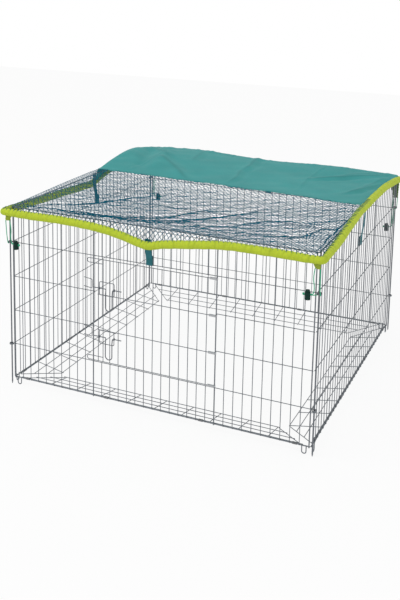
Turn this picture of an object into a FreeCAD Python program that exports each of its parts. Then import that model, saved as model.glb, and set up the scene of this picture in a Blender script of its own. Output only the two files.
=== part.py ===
import FreeCAD, Part
import math
import os

# Square outdoor run: four welded wire panels held by corner rods, four inward floor frames that stop
# digging, a front door with two slide latches, and a net-and-shade cover with a padded rim.
# Millimetres, +Z up, door side towards -Y. The origin is on the ground under the middle of the run.

V = FreeCAD.Vector
Placement = FreeCAD.Placement
Rotation = FreeCAD.Rotation
X_AXIS = V(1, 0, 0)
Y_AXIS = V(0, 1, 0)
Z_AXIS = V(0, 0, 1)

SIZES = [
    # frame of the run
    ("run_width", 1150, "between corner rod axes, left to right"),
    ("run_depth", 1150, "between corner rod axes, front to back"),
    ("bay_height", 130, "between the lying wires of a panel"),
    ("bay_count", 5, "bays from bottom rail to top rail"),
    ("upright_count", 35, "standing wires of a panel"),
    ("rail_height", 26, "bottom rail axis above the ground"),
    ("end_offset", 13, "corner rod axis to a panel's end upright"),
    ("grid_wire", 2.6, "diameter of the grid wires"),
    ("frame_wire", 4.2, "diameter of rails, end uprights and hinge wires"),
    ("rod_wire", 5, "diameter of a corner rod"),
    ("rod_top_drop", 22, "top rail axis down to a rod's top"),
    ("rod_point", 8, "length of a rod's pointed end"),
    ("rod_tip", 2, "diameter of the point's end"),
    ("eye_radius", 7.5, "corner eye, to the middle of its wire"),
    ("eye_sweep", 275, "degrees that an eye is bent round"),
    ("eye_gap", 0.3, "air between two stacked eyes"),
    ("eye_level_low", 1, "lower lying wire that carries eyes"),
    ("eye_level_high", 4, "upper lying wire that carries eyes"),
    ("foot_wire", 3.4, "diameter of a foot staple's wire"),
    ("foot_width", 18, "outer width of a foot staple"),
    ("foot_flat", 0.2, "how much the foot is worn flat"),
    ("foot_rise", 3, "staple legs above the bottom rail axis"),
    # floor frames
    ("barrier_depth", 113, "hinge wire to inner wire"),
    ("barrier_gap", 25, "room left at each mitred corner"),
    ("barrier_rows", 3, "long wires besides the hinge wire"),
    ("barrier_ribs", 9, "cross wires of a floor frame"),
    ("rib_inset", 6, "end cross wire from the inner corner"),
    ("wire_overrun", 2, "how far a wire runs past its last weld"),
    ("hinge_air", 0.3, "air between rail and hinge wire"),
    ("clip_length", 16, "sheet clip along the rail"),
    ("clip_sheet", 1, "thickness of the clip sheet"),
    ("clip_fit", 0.08, "radial room inside a clip"),
    ("clip_bay_outer", 1.5, "bays from end upright to outer clip"),
    ("clip_bay_inner", 11.5, "bays from end upright to inner clip"),
    # door
    ("door_latch_upright", 10, "upright at the latch side of the doorway"),
    ("door_hinge_upright", 24, "upright that the door hangs on"),
    ("door_low_level", 1, "lying wire under the doorway"),
    ("door_high_level", 4, "lying wire over the doorway"),
    ("door_margin", 8, "door's outer wires inside the doorway"),
    ("door_drop", 5.5, "door's middle wires below the panel's"),
    ("door_air", 0.4, "door's lying wires in front of the latch upright"),
    ("door_edge", 20.4, "latch upright to the door's first upright"),
    ("door_second", 19, "between the door's two edge uprights"),
    ("hairpin_pitch", 16, "between the legs of a door hairpin"),
    ("hairpin_reach", 22.3, "hairpin turn past the latch upright"),
    ("strap_length", 24, "hinge strap tail from the hinge axis"),
    ("strap_height", 7, "height of a hinge strap"),
    ("strap_sheet", 1, "thickness of the hinge strap sheet"),
    ("strap_fit", 0.08, "radial room round the hinge upright"),
    ("strap_grip", 6, "hinge axis to the end of a door wire"),
    # slide latches
    ("bolt_wire", 3.5, "diameter of the bolt wire"),
    ("bolt_travel", 20, "slide from open to locked"),
    ("bolt_fit", 0.25, "radial room in the guide eyes"),
    ("guide_eye_length", 3.4, "guide eye along the bolt"),
    ("bracket_height", 48, "guide loop, between wire middles"),
    ("bracket_left", 27.4, "latch upright to the left guide eye"),
    ("bracket_right", 85.4, "latch upright to the right guide eye"),
    ("bracket_bend", 5, "corner radius of the guide loop"),
    ("bolt_tip", 3.4, "open bolt's tip right of the latch upright"),
    ("bolt_leg", 53.4, "open bolt's left leg right of the latch upright"),
    ("bolt_tail", 113.4, "open bolt's tail right of the latch upright"),
    ("handle_width", 26, "between the legs of the bolt's handle"),
    ("handle_drop", 78, "handle's bottom below the bolt"),
    ("handle_slant", 16, "height over which the handle leans out"),
    ("handle_knee", 12, "bend where the handle turns upright"),
    ("handle_turn", 12.8, "bends at the handle's bottom"),
    ("bolt_crook", 4, "bend between bolt and handle"),
    ("handle_air", 0.5, "handle in front of the guide loop"),
    ("keeper_rise", 29, "keeper's upper leg above the bolt"),
    ("keeper_air", 0.45, "room between bolt and keeper"),
    ("keeper_tail", 4, "keeper legs past the next upright"),
    ("keeper_bend", 3.5, "bends of the keeper"),
    # cover
    ("cover_air", 0.4, "sheet above the top rail"),
    ("cover_sheet", 2.5, "thickness of the stretched sheet"),
    ("skirt_air", 1, "skirt outside the corner rods"),
    ("skirt_sheet", 2, "thickness of the skirt"),
    ("rim_diameter", 26, "padded rim"),
    ("rim_air", 0.3, "room between rim and sheet"),
    ("rim_out", 19.5, "rim's middle outside the rod line"),
    ("rim_out_right", 5, "same, where it lies on the right rail"),
    ("rim_out_corner", 12.5, "same, at the right and back corners"),
    ("rim_corner_drop", 14, "rim's middle under the top rail at the front corners"),
    ("rim_back_corner_drop", 9, "same, at the back corners"),
    ("rim_quarter", 287, "rim's outer bends in front, from the middle"),
    ("rim_quarter_drop", 20, "rim's middle under the top rail at those bends"),
    ("rim_front_drop", 60, "same, at the front strap"),
    ("rim_left_drop", 50, "same, at the left strap"),
    ("rim_back_drop", 20, "same, middle of the back"),
    ("rim_right_start", 25, "rim's first bend on the right, from the front rod"),
    ("rim_right_drop", 8, "rim's middle under the top rail at that bend"),
    ("rim_right_rise", 18.4, "rim over the top rail along the right side"),
    ("rim_right_front", 145, "where that stretch begins, from the front rod"),
    ("rim_right_back", 245, "where that stretch ends, from the back rod"),
    ("seam_left", 64, "shade's front edge behind the middle, left end"),
    ("seam_middle", 76, "same, middle"),
    ("seam_right", 43, "same, right end"),
    ("net_bays_across", 11, "bays of the net's open grid, left to right"),
    ("net_bays_deep", 6, "same, front to back"),
    ("net_band", 14, "band between two bays"),
    ("net_border", 18, "closed border inside the rod lines and the seam"),
    ("swell_height", 45, "how far the shade puffs up over the left rail"),
    ("web_width", 24, "pull-down strap"),
    ("web_sheet", 1.6, "thickness of the strap"),
    ("web_air", 0.3, "room round the wire that the strap holds"),
    ("web_return", 32, "strap's inner leg above that wire"),
    ("web_straight", 18, "strap's straight stretch above that wire"),
    ("web_bay", 16.5, "bay of the front, right and back straps"),
    ("web_bay_left", 15.5, "bay of the left strap"),
    ("tab_width", 36, "corner tab under the rim"),
    ("tab_start", 14, "corner tab past the rod, outward along the panel"),
    ("tab_sheet", 2, "thickness of a corner tab"),
    ("tab_air", 0.6, "corner tab under the rim"),
    ("tab_front", 14, "height of a front corner tab"),
    ("tab_back", 66, "height of a back corner tab"),
    # cord locks and elastic cord
    ("cord_wire", 3, "diameter of the elastic cord"),
    ("strand_pitch", 3.8, "between the two strands in a cord lock"),
    ("lock_along", 34, "cord lock from the corner rod, along the panel"),
    ("lock_out", 14, "cord lock outside the rod line"),
    ("lock_drop_front", 1.5, "front cord lock under the eye level"),
    ("lock_drop_back", 91, "back cord lock under the eye level"),
    ("lock_diameter", 18, "cord lock barrel"),
    ("lock_wall", 1.8, "barrel wall"),
    ("lock_below", 17, "cord hole to the barrel's bottom"),
    ("lock_above", 8, "cord hole to the barrel's mouth"),
    ("plunger_fit", 0.2, "radial room round the plunger"),
    ("plunger_below", 5.5, "cord hole to the plunger's bottom"),
    ("plunger_proud", 6, "plunger above the barrel's mouth"),
    ("plunger_travel", 4, "how far the plunger presses in"),
    ("cord_room", 0.4, "room round the strands in the cord hole"),
    ("lock_turn", 14, "turn of the tight strand beside a front cord lock"),
    ("spring_wire", 0.7, "diameter of the spring wire"),
    ("spring_radius", 5, "spring, to the middle of its wire"),
    ("spring_turns", 4, "turns of the spring"),
    ("spring_corners", 8, "runs that make up one turn"),
    ("spring_air", 0.1, "room at each end of the spring"),
    ("knot_diameter", 8, "knot at the cord's tails"),
    ("knot_along", 48, "knot from the corner rod, along the panel"),
]

doc = FreeCAD.newDocument("rabbit_run")
sheet = doc.addObject("Spreadsheet::Sheet", "dims")
for row, (alias, number, meaning) in enumerate(SIZES, start=1):
    sheet.set("A%d" % row, alias)
    sheet.set("B%d" % row, str(number))
    sheet.set("C%d" % row, meaning)
    sheet.setAlias("B%d" % row, alias)
doc.recompute()


def size(alias):
    """A cell of the sheet as a number."""
    return float(sheet.get(alias))


# ------------------------------------------------------------------ places worked out from the sheet
GRID_R = size("grid_wire") / 2
FRAME_R = size("frame_wire") / 2
ROD_R = size("rod_wire") / 2
BOLT_R = size("bolt_wire") / 2
RIM_R = size("rim_diameter") / 2
EYE_R = size("eye_radius")
HALF_W = size("run_width") / 2
HALF_D = size("run_depth") / 2
# A panel's weld plane, where standing and lying wires touch, lies inside the rod line.
WELD_IN = EYE_R - GRID_R
EYE_LIFT = size("grid_wire") + size("eye_gap")
TOP = size("rail_height") + size("bay_height") * size("bay_count")
# One panel per side: turn about Z, span and distance of the rod line from the middle.
SIDES = {
    "front": (0, "run_width", HALF_D),
    "right": (90, "run_depth", HALF_W),
    "back": (180, "run_width", HALF_D),
    "left": (270, "run_depth", HALF_W),
}


def level(number):
    """Height of a panel's lying wire, counted from the bottom rail."""
    return size("rail_height") + size("bay_height") * number


def upright_x(number, span):
    """Place of a standing wire along a panel, measured from the panel's middle."""
    inner = size(span) - 2 * size("end_offset")
    return -inner / 2 + inner * number / (size("upright_count") - 1)


def side_placement(side):
    """Frame of a side: x along the panel, y inward from the weld plane, z up from the ground."""
    turn, span, distance = SIDES[side]
    rotation = Rotation(Z_AXIS, turn)
    return Placement(rotation.multVec(V(0, -(distance - WELD_IN), 0)), rotation)


# ------------------------------------------------------------------ building blocks
nodes = []


def add(kind, name):
    """A new object of the document."""
    return doc.addObject(kind, name)


def wire(gauge, length, start, along):
    """Straight round wire: gauge is a sheet alias, length an expression in the sheet's cells."""
    rod = add("Part::Cylinder", "wire")
    rod.setExpression("Radius", "dims.%s / 2" % gauge)
    rod.setExpression("Height", length)
    rod.Placement = Placement(start, Rotation(Z_AXIS, along))
    return rod


def bend(gauge, radius, sweep, centre, rotation):
    """Round wire bent to an arc about its own Z axis, from its own +X through sweep degrees."""
    arc = add("Part::Torus", "bend")
    arc.setExpression("Radius1", radius)
    arc.setExpression("Radius2", "dims.%s / 2" % gauge)
    arc.setExpression("Angle3", sweep)
    arc.Placement = Placement(centre, rotation)
    return arc


def block(length, width, height, corner):
    """Box with its low corner at corner; the sizes are expressions."""
    box = add("Part::Box", "block")
    box.setExpression("Length", length)
    box.setExpression("Width", width)
    box.setExpression("Height", height)
    box.Placement = Placement(corner, Rotation())
    return box


def disc(radius, height, start, along):
    """Cylinder whose sizes are expressions."""
    drum = add("Part::Cylinder", "disc")
    drum.setExpression("Radius", radius)
    drum.setExpression("Height", height)
    drum.Placement = Placement(start, Rotation(Z_AXIS, along))
    return drum


def fused(parts):
    """Boolean sum of the parts."""
    whole = add("Part::MultiFuse", "fused")
    whole.Shapes = parts
    return whole


def cut(base, tool):
    """Base less tool."""
    rest = add("Part::Cut", "cut")
    rest.Base = base
    rest.Tool = tool
    rest.Refine = False
    return rest


def common(base, tool):
    """What base and tool share."""
    shared = add("Part::Common", "common")
    shared.Base = base
    shared.Tool = tool
    return shared


def group(label, parts, placement=None):
    """A node: the solids of one sub-part, in the row's frame."""
    holder = add("Part::Compound", label)
    holder.Label = label
    holder.Links = parts
    if placement is not None:
        holder.Placement = placement
    nodes.append(holder)
    return holder


def feature(label, shape):
    """A feature whose shape is worked out with Part's own functions."""
    item = add("Part::Feature", label)
    item.Shape = shape
    return item


def copies(label, master, placements):
    """A node of equal pieces, each a copy of master at one of the placements."""
    items = []
    for place in placements:
        item = feature("copy", master.Shape.copy())
        item.Placement = place.multiply(master.Placement)
        items.append(item)
    return group(label, items)


def prism(points, push):
    """Solid swept from a flat outline of points along the vector push."""
    outline = Part.makePolygon(points + [points[0]])
    return Part.Face(outline).extrude(push)


def route(points, radii):
    """Wire of straight runs through points, each inner corner rounded to its radius by a tangent arc."""
    edges = []
    start = points[0]
    for before, corner, after, radius in zip(points, points[1:], points[2:], radii):
        arriving = (corner - before).normalize()
        leaving = (after - corner).normalize()
        half_turn = arriving.getAngle(leaving) / 2
        reach = radius * math.tan(half_turn)
        first = corner - arriving * reach
        last = corner + leaving * reach
        towards = (leaving - arriving).normalize()
        middle = corner + towards * (radius / math.cos(half_turn) - radius)
        if (first - start).Length > 0.001:
            edges.append(Part.LineSegment(start, first).toShape())
        edges.append(Part.Arc(first, middle, last).toShape())
        start = last
    edges.append(Part.LineSegment(start, points[-1]).toShape())
    return Part.Wire(edges)


def bent_wire(points, radii, diameter):
    """Solid of round section along a route."""
    spine = route(points, radii)
    circle = Part.Circle(points[0], (points[1] - points[0]).normalize(), diameter / 2)
    section = Part.Wire([circle.toShape()])
    return spine.makePipeShell([section], True, False), spine.Length


# ------------------------------------------------------------------ welded panels
INNER = "(dims.%s - 2 * dims.end_offset)"
PANEL_HEIGHT = "dims.bay_count * dims.bay_height"


def short_upright(x, low, high):
    """Thin upright between two heights; uprights lie outside the weld plane."""
    return wire("grid_wire", "%.6f" % (high - low), V(x, -GRID_R, low), Z_AXIS)


def grid_upright(x):
    """Thin upright between the middles of both rails."""
    return wire("grid_wire", PANEL_HEIGHT, V(x, -GRID_R, size("rail_height")), Z_AXIS)


def frame_upright(x):
    """Thick upright that covers both rails."""
    start = V(x, -FRAME_R, size("rail_height") - FRAME_R)
    return wire("frame_wire", PANEL_HEIGHT + " + dims.frame_wire", start, Z_AXIS)


def eye(x, z, left):
    """Open eye at the end of a lying wire, bent outward round the corner rod."""
    start_angle = 90 if left else 90 - size("eye_sweep")
    centre = V(x, GRID_R - EYE_R, z)
    return bend("grid_wire", "dims.eye_radius", "dims.eye_sweep", centre, Rotation(Z_AXIS, start_angle))


def lying(x_low, x_high, z):
    """Thin lying wire between two places along the panel; lying wires are inside the weld plane."""
    return wire("grid_wire", "%.6f" % (x_high - x_low), V(x_low, GRID_R, z), X_AXIS)


def foot(x):
    """U staple welded outside the bottom rail: the run stands on its flat-worn bend."""
    radius = size("foot_wire") / 2
    half = size("foot_width") / 2 - radius
    centre_z = half + radius - size("foot_flat")
    leg_length = size("rail_height") + size("foot_rise") - centre_z
    parts = [bend("foot_wire", "dims.foot_width / 2 - dims.foot_wire / 2", "180",
                  V(x, -radius, centre_z), Rotation(X_AXIS, -90))]
    for reach in (-half, half):
        parts.append(wire("foot_wire", "%.6f" % leg_length, V(x + reach, -radius, centre_z), Z_AXIS))
    below = block("dims.foot_width * 2", "dims.foot_width", "dims.foot_width",
                  V(x - size("foot_width"), -size("foot_width") / 2, -size("foot_width")))
    return cut(fused(parts), below)


def panel(side):
    """Welded panel of one side: uprights, rails, lying wires and corner eyes."""
    turn, span, distance = SIDES[side]
    has_door = side == "front"
    lift = EYE_LIFT if side in ("left", "right") else 0
    last = int(size("upright_count")) - 1
    end_x = upright_x(last, span)
    hinge, latch = int(size("door_hinge_upright")), int(size("door_latch_upright"))
    low_z, high_z = level(size("door_low_level")), level(size("door_high_level"))
    parts = []
    for number in range(last + 1):
        x = upright_x(number, span)
        if number in (0, last) or (has_door and number in (hinge, latch)):
            parts.append(frame_upright(x))
        elif has_door and latch < number < hinge:
            parts.append(short_upright(x, size("rail_height"), low_z + GRID_R))
            parts.append(short_upright(x, high_z - GRID_R, TOP))
        else:
            parts.append(grid_upright(x))
    rail = INNER % span + " + dims.frame_wire"
    for z in (size("rail_height"), TOP):
        parts.append(wire("frame_wire", rail, V(-end_x - FRAME_R, FRAME_R, z), X_AXIS))
    for number in range(1, int(size("bay_count"))):
        z = level(number)
        if number in (size("eye_level_low"), size("eye_level_high")):
            half = size(span) / 2
            parts.append(wire("grid_wire", "dims.%s" % span, V(-half, GRID_R, z + lift), X_AXIS))
            parts.append(eye(-half, z + lift, True))
            parts.append(eye(half, z + lift, False))
        elif has_door:
            parts.append(lying(-end_x - FRAME_R, upright_x(latch, span) + FRAME_R, z))
            parts.append(lying(upright_x(hinge, span) - FRAME_R, end_x + FRAME_R, z))
        else:
            parts.append(lying(-end_x - FRAME_R, end_x + FRAME_R, z))
    return group("panel_" + side, parts, side_placement(side))


def rest_feet():
    """The foot staples of all four panels, one in each end bay."""
    master = foot(0)
    doc.recompute()
    places = []
    for side, (turn, span, distance) in SIDES.items():
        reach = upright_x(0.5, span)
        for x in (reach, -reach):
            places.append(side_placement(side).multiply(Placement(V(x, 0, 0), Rotation())))
    return copies("rest_feet", master, places)


def corner_rod(label, x, y):
    """Hinge rod through the stacked eyes of two panels; its pointed end pegs into the ground."""
    point = add("Part::Cone", "point")
    point.setExpression("Radius1", "dims.rod_tip / 2")
    point.setExpression("Radius2", "dims.rod_wire / 2")
    point.setExpression("Height", "dims.rod_point")
    shaft_length = "dims.rail_height + %s - dims.rod_top_drop - dims.rod_point" % PANEL_HEIGHT
    shaft = wire("rod_wire", shaft_length, V(0, 0, size("rod_point")), Z_AXIS)
    return group(label, [fused([point, shaft])], Placement(V(x, y, 0), Rotation()))


# ------------------------------------------------------------------ floor frames
HINGE_IN = 2 * FRAME_R + size("hinge_air") + FRAME_R
RIB_Z = -FRAME_R - GRID_R


def barrier_slope():
    """Angle at which the frame's inner edge comes down to the ground."""
    reach = size("barrier_depth") + size("wire_overrun")
    thick = -RIB_Z + GRID_R
    lean = math.atan2(thick, reach)
    return math.degrees(math.asin(size("rail_height") / math.hypot(reach, thick)) - lean)


def barrier_half(span):
    """Half the length of the hinge wire between its mitred corners."""
    return size(span) / 2 - WELD_IN - HINGE_IN - size("barrier_gap")


def barrier(side):
    """Mitred floor frame: long wires, cross wires under them and a mitre wire at each end."""
    turn, span, distance = SIDES[side]
    half = barrier_half(span)
    depth = size("barrier_depth")
    over = size("wire_overrun")
    rows = int(size("barrier_rows"))
    parts = [wire("frame_wire", "%.6f" % (2 * (half + over)), V(-half - over, 0, 0), X_AXIS)]
    for number in range(1, rows + 1):
        y = depth * number / rows
        reach = half - y + over
        start = V(-reach, y, -FRAME_R + GRID_R)
        parts.append(wire("grid_wire", "%.6f" % (2 * reach), start, X_AXIS))
    ribs = int(size("barrier_ribs"))
    outer = half - depth - size("rib_inset")
    for number in range(ribs):
        x = -outer + 2 * outer * number / (ribs - 1)
        parts.append(wire("grid_wire", "dims.barrier_depth + dims.wire_overrun", V(x, 0, RIB_Z), Y_AXIS))
    for hand in (-1, 1):
        along = V(-hand, 1, 0)
        parts.append(wire("grid_wire", "dims.barrier_depth * sqrt(2)", V(hand * half, 0, RIB_Z), along))
    tilt = Placement(V(0, HINGE_IN, size("rail_height")), Rotation(X_AXIS, -barrier_slope()))
    return group("barrier_" + side, parts, side_placement(side).multiply(tilt))


def clip_master():
    """Sheet clip closed round the bottom rail and a hinge wire beside it."""
    room = "dims.frame_wire / 2 + dims.clip_fit"
    skin = room + " + dims.clip_sheet"
    pitch = "dims.frame_wire + dims.hinge_air"
    start = V(-size("clip_length") / 2, 0, 0)
    shells = []
    for radius in (skin, room):
        reach = FRAME_R + size("clip_fit") + (size("clip_sheet") if radius == skin else 0)
        near = disc(radius, "dims.clip_length", start, X_AXIS)
        far = disc(radius, "dims.clip_length", start + V(0, HINGE_IN - FRAME_R, 0), X_AXIS)
        middle = block("dims.clip_length", pitch, "2 * (%s)" % radius, start + V(0, 0, -reach))
        shells.append(fused([near, far, middle]))
    return cut(shells[0], shells[1])


def barrier_clips(side, master):
    """Four clips of one side, each in the middle of a bay."""
    turn, span, distance = SIDES[side]
    last = size("upright_count") - 1
    places = []
    for bay in (size("clip_bay_outer"), size("clip_bay_inner")):
        for number in (bay, last - bay):
            spot = Placement(V(upright_x(number, span), FRAME_R, size("rail_height")), Rotation())
            places.append(side_placement(side).multiply(spot))
    return copies("barrier_clips_" + side, master, places)


# ------------------------------------------------------------------ door
LATCH_X = upright_x(size("door_latch_upright"), "run_width")
HINGE_X = upright_x(size("door_hinge_upright"), "run_width")
DOOR_Y = -2 * FRAME_R - size("door_air") - GRID_R
DOOR_LOW = level(size("door_low_level")) + size("door_margin")
DOOR_HIGH = level(size("door_high_level")) - size("door_margin")
DOOR_MIDDLES = [level(number) - size("door_drop")
                for number in range(int(size("door_low_level")) + 1, int(size("door_high_level")))]
LATCH_Y = DOOR_Y - size("grid_wire")


def hairpin(z_long, z_short):
    """Door's top or bottom wire, turned back at the latch side, where it stops against the panel."""
    turn_r = size("hairpin_pitch") / 2
    turn_x = LATCH_X - size("hairpin_reach") + turn_r
    end_x = HINGE_X - size("strap_grip")
    short_end = LATCH_X + size("door_edge") + size("door_second") + GRID_R
    half_turn = Rotation(X_AXIS, 90).multiply(Rotation(Z_AXIS, 90))
    centre = V(turn_x, DOOR_Y, (z_long + z_short) / 2)
    return [
        wire("grid_wire", "%.6f" % (end_x - turn_x), V(turn_x, DOOR_Y, z_long), X_AXIS),
        bend("grid_wire", "dims.hairpin_pitch / 2", "180", centre, half_turn),
        wire("grid_wire", "%.6f" % (short_end - turn_x), V(turn_x, DOOR_Y, z_short), X_AXIS),
    ]


def door():
    """Wire door outside the doorway: uprights behind, lying wires and two hairpins in front."""
    first = LATCH_X + size("door_edge")
    places = [first, first + size("door_second")]
    numbers = range(int(size("door_latch_upright")) + 2, int(size("door_hinge_upright")))
    places += [upright_x(number, "run_width") for number in numbers]
    parts = []
    for x in places:
        start = V(x, DOOR_Y + size("grid_wire"), DOOR_LOW - GRID_R)
        parts.append(wire("grid_wire", "%.6f" % (DOOR_HIGH - DOOR_LOW + 2 * GRID_R), start, Z_AXIS))
    for z in DOOR_MIDDLES:
        x_low = first - GRID_R
        length = HINGE_X - size("strap_grip") - x_low
        parts.append(wire("grid_wire", "%.6f" % length, V(x_low, DOOR_Y, z), X_AXIS))
    pitch = size("hairpin_pitch")
    parts += hairpin(DOOR_HIGH, DOOR_HIGH - pitch)
    parts += hairpin(DOOR_LOW, DOOR_LOW + pitch)
    return group("door", parts, side_placement("front"))


def hinge_strap():
    """Sheet strap: an eye round the hinge upright and a tail closed over the end of a door wire."""
    room = "dims.frame_wire / 2 + dims.strap_fit"
    base = V(0, 0, -size("strap_height") / 2)
    ring = disc(room + " + dims.strap_sheet", "dims.strap_height", base, Z_AXIS)
    offset = DOOR_Y + FRAME_R
    thick = size("grid_wire") + 2 * size("strap_sheet")
    tail = block("dims.strap_length", "dims.grid_wire + 2 * dims.strap_sheet", "dims.strap_height",
                 V(-size("strap_length"), offset - thick / 2, -size("strap_height") / 2))
    bore = disc(room, "dims.strap_height", base, Z_AXIS)
    seat = disc("dims.grid_wire / 2 + dims.strap_fit", "dims.strap_length - dims.strap_grip",
                V(-size("strap_length"), offset, 0), X_AXIS)
    return cut(fused([ring, tail]), fused([bore, seat]))


def door_straps():
    """One strap on each lying wire of the door."""
    master = hinge_strap()
    doc.recompute()
    heights = [DOOR_LOW] + DOOR_MIDDLES + [DOOR_HIGH]
    frame = side_placement("front")
    places = [frame.multiply(Placement(V(HINGE_X, -FRAME_R, z), Rotation())) for z in heights]
    return copies("door_hinge_straps", master, places)


# ------------------------------------------------------------------ slide latches
def guide(name, z_low):
    """Rounded wire loop on the door with an eye in each side for the bolt."""
    radius = size("bracket_bend")
    left = LATCH_X + size("bracket_left")
    right = LATCH_X + size("bracket_right")
    z_high = z_low + size("bracket_height")
    z_bolt = (z_low + z_high) / 2
    eye_r = BOLT_R + size("bolt_fit") + GRID_R
    room = "dims.bolt_wire / 2 + dims.bolt_fit"
    bar = "dims.bracket_right - dims.bracket_left - 2 * dims.bracket_bend"
    upright = Rotation(X_AXIS, 90)
    parts = []
    for z in (z_low, z_high):
        parts.append(wire("grid_wire", bar, V(left + radius, LATCH_Y, z), X_AXIS))
    corners = ((right - radius, z_high - radius, 0), (left + radius, z_high - radius, 90),
               (left + radius, z_low + radius, 180), (right - radius, z_low + radius, 270))
    for x, z, start_angle in corners:
        turn = upright.multiply(Rotation(Z_AXIS, start_angle))
        parts.append(bend("grid_wire", "dims.bracket_bend", "90", V(x, LATCH_Y, z), turn))
    stub = size("bracket_height") / 2 - radius - eye_r
    bores = []
    for x in (left, right):
        start = V(x - size("guide_eye_length") / 2, LATCH_Y, z_bolt)
        parts.append(disc(room + " + dims.grid_wire", "dims.guide_eye_length", start, X_AXIS))
        bores.append(disc(room, "dims.guide_eye_length", start, X_AXIS))
        for start in (z_low + radius, z_bolt + eye_r):
            parts.append(wire("grid_wire", "%.6f" % stub, V(x, LATCH_Y, start), Z_AXIS))
    return group(name + "_guide", [cut(fused(parts), fused(bores))], side_placement("front"))


def bolt(name, z):
    """One bent wire: a bolt through both guide eyes with a hanging U handle between them."""
    left = LATCH_X + size("bolt_leg")
    right = left + size("handle_width")
    front = LATCH_Y - GRID_R - size("handle_air") - BOLT_R
    knee_z = z - size("handle_slant")
    bottom = z - size("handle_drop")
    points = [
        V(LATCH_X + size("bolt_tip"), LATCH_Y, z),
        V(left, LATCH_Y, z),
        V(left, front, knee_z),
        V(left, front, bottom),
        V(right, front, bottom),
        V(right, front, knee_z),
        V(right, LATCH_Y, z),
        V(LATCH_X + size("bolt_tail"), LATCH_Y, z),
    ]
    crook, knee, turn = size("bolt_crook"), size("handle_knee"), size("handle_turn")
    solid, length = bent_wire(points, [crook, knee, turn, turn, knee, crook], size("bolt_wire"))
    return group(name + "_bolt", [feature("bolt", solid)], side_placement("front"))


def keeper(name, z):
    """U staple welded across two uprights; the locked bolt lies behind its upright stretch."""
    next_x = upright_x(size("door_latch_upright") - 1, "run_width")
    front = LATCH_Y - BOLT_R - size("keeper_air") - GRID_R
    back = -2 * GRID_R - GRID_R
    slope = (front - back) / (LATCH_X - next_x)
    tail_x = next_x - size("keeper_tail")
    tail_y = back - slope * size("keeper_tail")
    low = z - BOLT_R - size("keeper_air") - GRID_R
    high = z + size("keeper_rise")
    lower = [V(tail_x, tail_y, low), V(LATCH_X, front, low)]
    upper = [V(LATCH_X, front, high), V(tail_x, tail_y, high)]
    solid, length = bent_wire(lower + upper, [size("keeper_bend")] * 2, size("grid_wire"))
    return group(name + "_keeper", [feature("keeper", solid)], side_placement("front"))


def latch(name, z_low):
    """Guide, bolt and keeper of one latch; the guide loop's lower bar is at z_low."""
    z_bolt = z_low + size("bracket_height") / 2
    guide(name, z_low)
    bolt(name, z_bolt)
    keeper(name, z_bolt)


# ------------------------------------------------------------------ cover
SHEET_LOW = TOP + FRAME_R + size("cover_air")
SHEET_TOP = SHEET_LOW + size("cover_sheet")
SKIRT_IN = ROD_R + size("skirt_air")
SKIRT_OUT = SKIRT_IN + size("skirt_sheet")


# Rim's middle at each corner: outward along x, outward along y, and under the top rail.
CORNER_RIM = {
    "front_left": ("rim_out", "rim_out", "rim_corner_drop"),
    "front_right": ("rim_out_corner", "rim_out", "rim_corner_drop"),
    "back_right": ("rim_out_corner", "rim_out", "rim_back_corner_drop"),
    "back_left": ("rim_out", "rim_out", "rim_back_corner_drop"),
}
RIM_ENDS = {
    "front": ("front_left", "front_right"),
    "right": ("front_right", "back_right"),
    "back": ("back_right", "back_left"),
    "left": ("back_left", "front_left"),
}


def rim_corner(side, corner, hand):
    """Rim's middle at a corner, seen from a side: along it, outside its rod line, and height."""
    out_x, out_y, drop = (size(alias) for alias in CORNER_RIM[corner])
    if side in ("front", "back"):
        return hand * (HALF_W + out_x), out_y, TOP - drop
    return hand * (HALF_D + out_y), out_x, TOP - drop


def rim_bends(side):
    """Bends of the rim between the corners of a side, given in the same way."""
    out, lying_out = size("rim_out"), size("rim_out_right")
    if side == "front":
        kink = upright_x(size("web_bay"), "run_width")
        quarter, high = size("rim_quarter"), TOP - size("rim_quarter_drop")
        return [(-quarter, out, high), (kink, out, TOP - size("rim_front_drop")), (quarter, out, high)]
    if side == "left":
        kink = upright_x(size("web_bay_left"), "run_depth")
        return [(kink, out, TOP - size("rim_left_drop"))]
    if side == "back":
        return [(0, out, TOP - size("rim_back_drop"))]
    high = TOP + size("rim_right_rise")
    return [
        (size("rim_right_start") - HALF_D, size("rim_out_corner"), TOP - size("rim_right_drop")),
        (size("rim_right_front") - HALF_D, lying_out, high),
        (HALF_D - size("rim_right_back"), lying_out, high),
    ]


def rim_line(side):
    """Middle of the rim along a side, from corner to corner."""
    first, last = RIM_ENDS[side]
    return [rim_corner(side, first, -1)] + rim_bends(side) + [rim_corner(side, last, 1)]


RIM = {side_name: rim_line(side_name) for side_name in SIDES}


def rim_at(side, x):
    """Rim's middle at a place along a side, as its distance outside the rod line and its height."""
    for (x0, out0, z0), (x1, out1, z1) in zip(RIM[side], RIM[side][1:]):
        if x <= x1:
            break
    share = (x - x0) / (x1 - x0)
    return out0 + (out1 - out0) * share, z0 + (z1 - z0) * share


def rim_spots(side):
    """Rim's corners and bends of a side in the run's own frame."""
    place = side_placement(side)
    return [place.multVec(V(along, -WELD_IN - out, z)) for along, out, z in RIM[side]]


def rim_run(start, end):
    """Straight run of the padded tube between two bends, mitred by upright planes."""
    run = end - start
    along = V(run).normalize()
    spare = size("rim_diameter") * 2
    tube = wire("rim_diameter", "%.6f" % (run.Length + 2 * spare), start - along * spare, along)
    far = 2
    corners = [V(0, 0, -TOP)] + [V(spot.x * far, spot.y * far, -TOP) for spot in (end, start)]
    wedge = feature("wedge", prism(corners, V(0, 0, 4 * TOP)))
    return common(tube, wedge)


def rim_side(side):
    """The padded runs of one side of the rim."""
    spots = rim_spots(side)
    return group("cover_rim_" + side, [rim_run(one, two) for one, two in zip(spots, spots[1:])])


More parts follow.
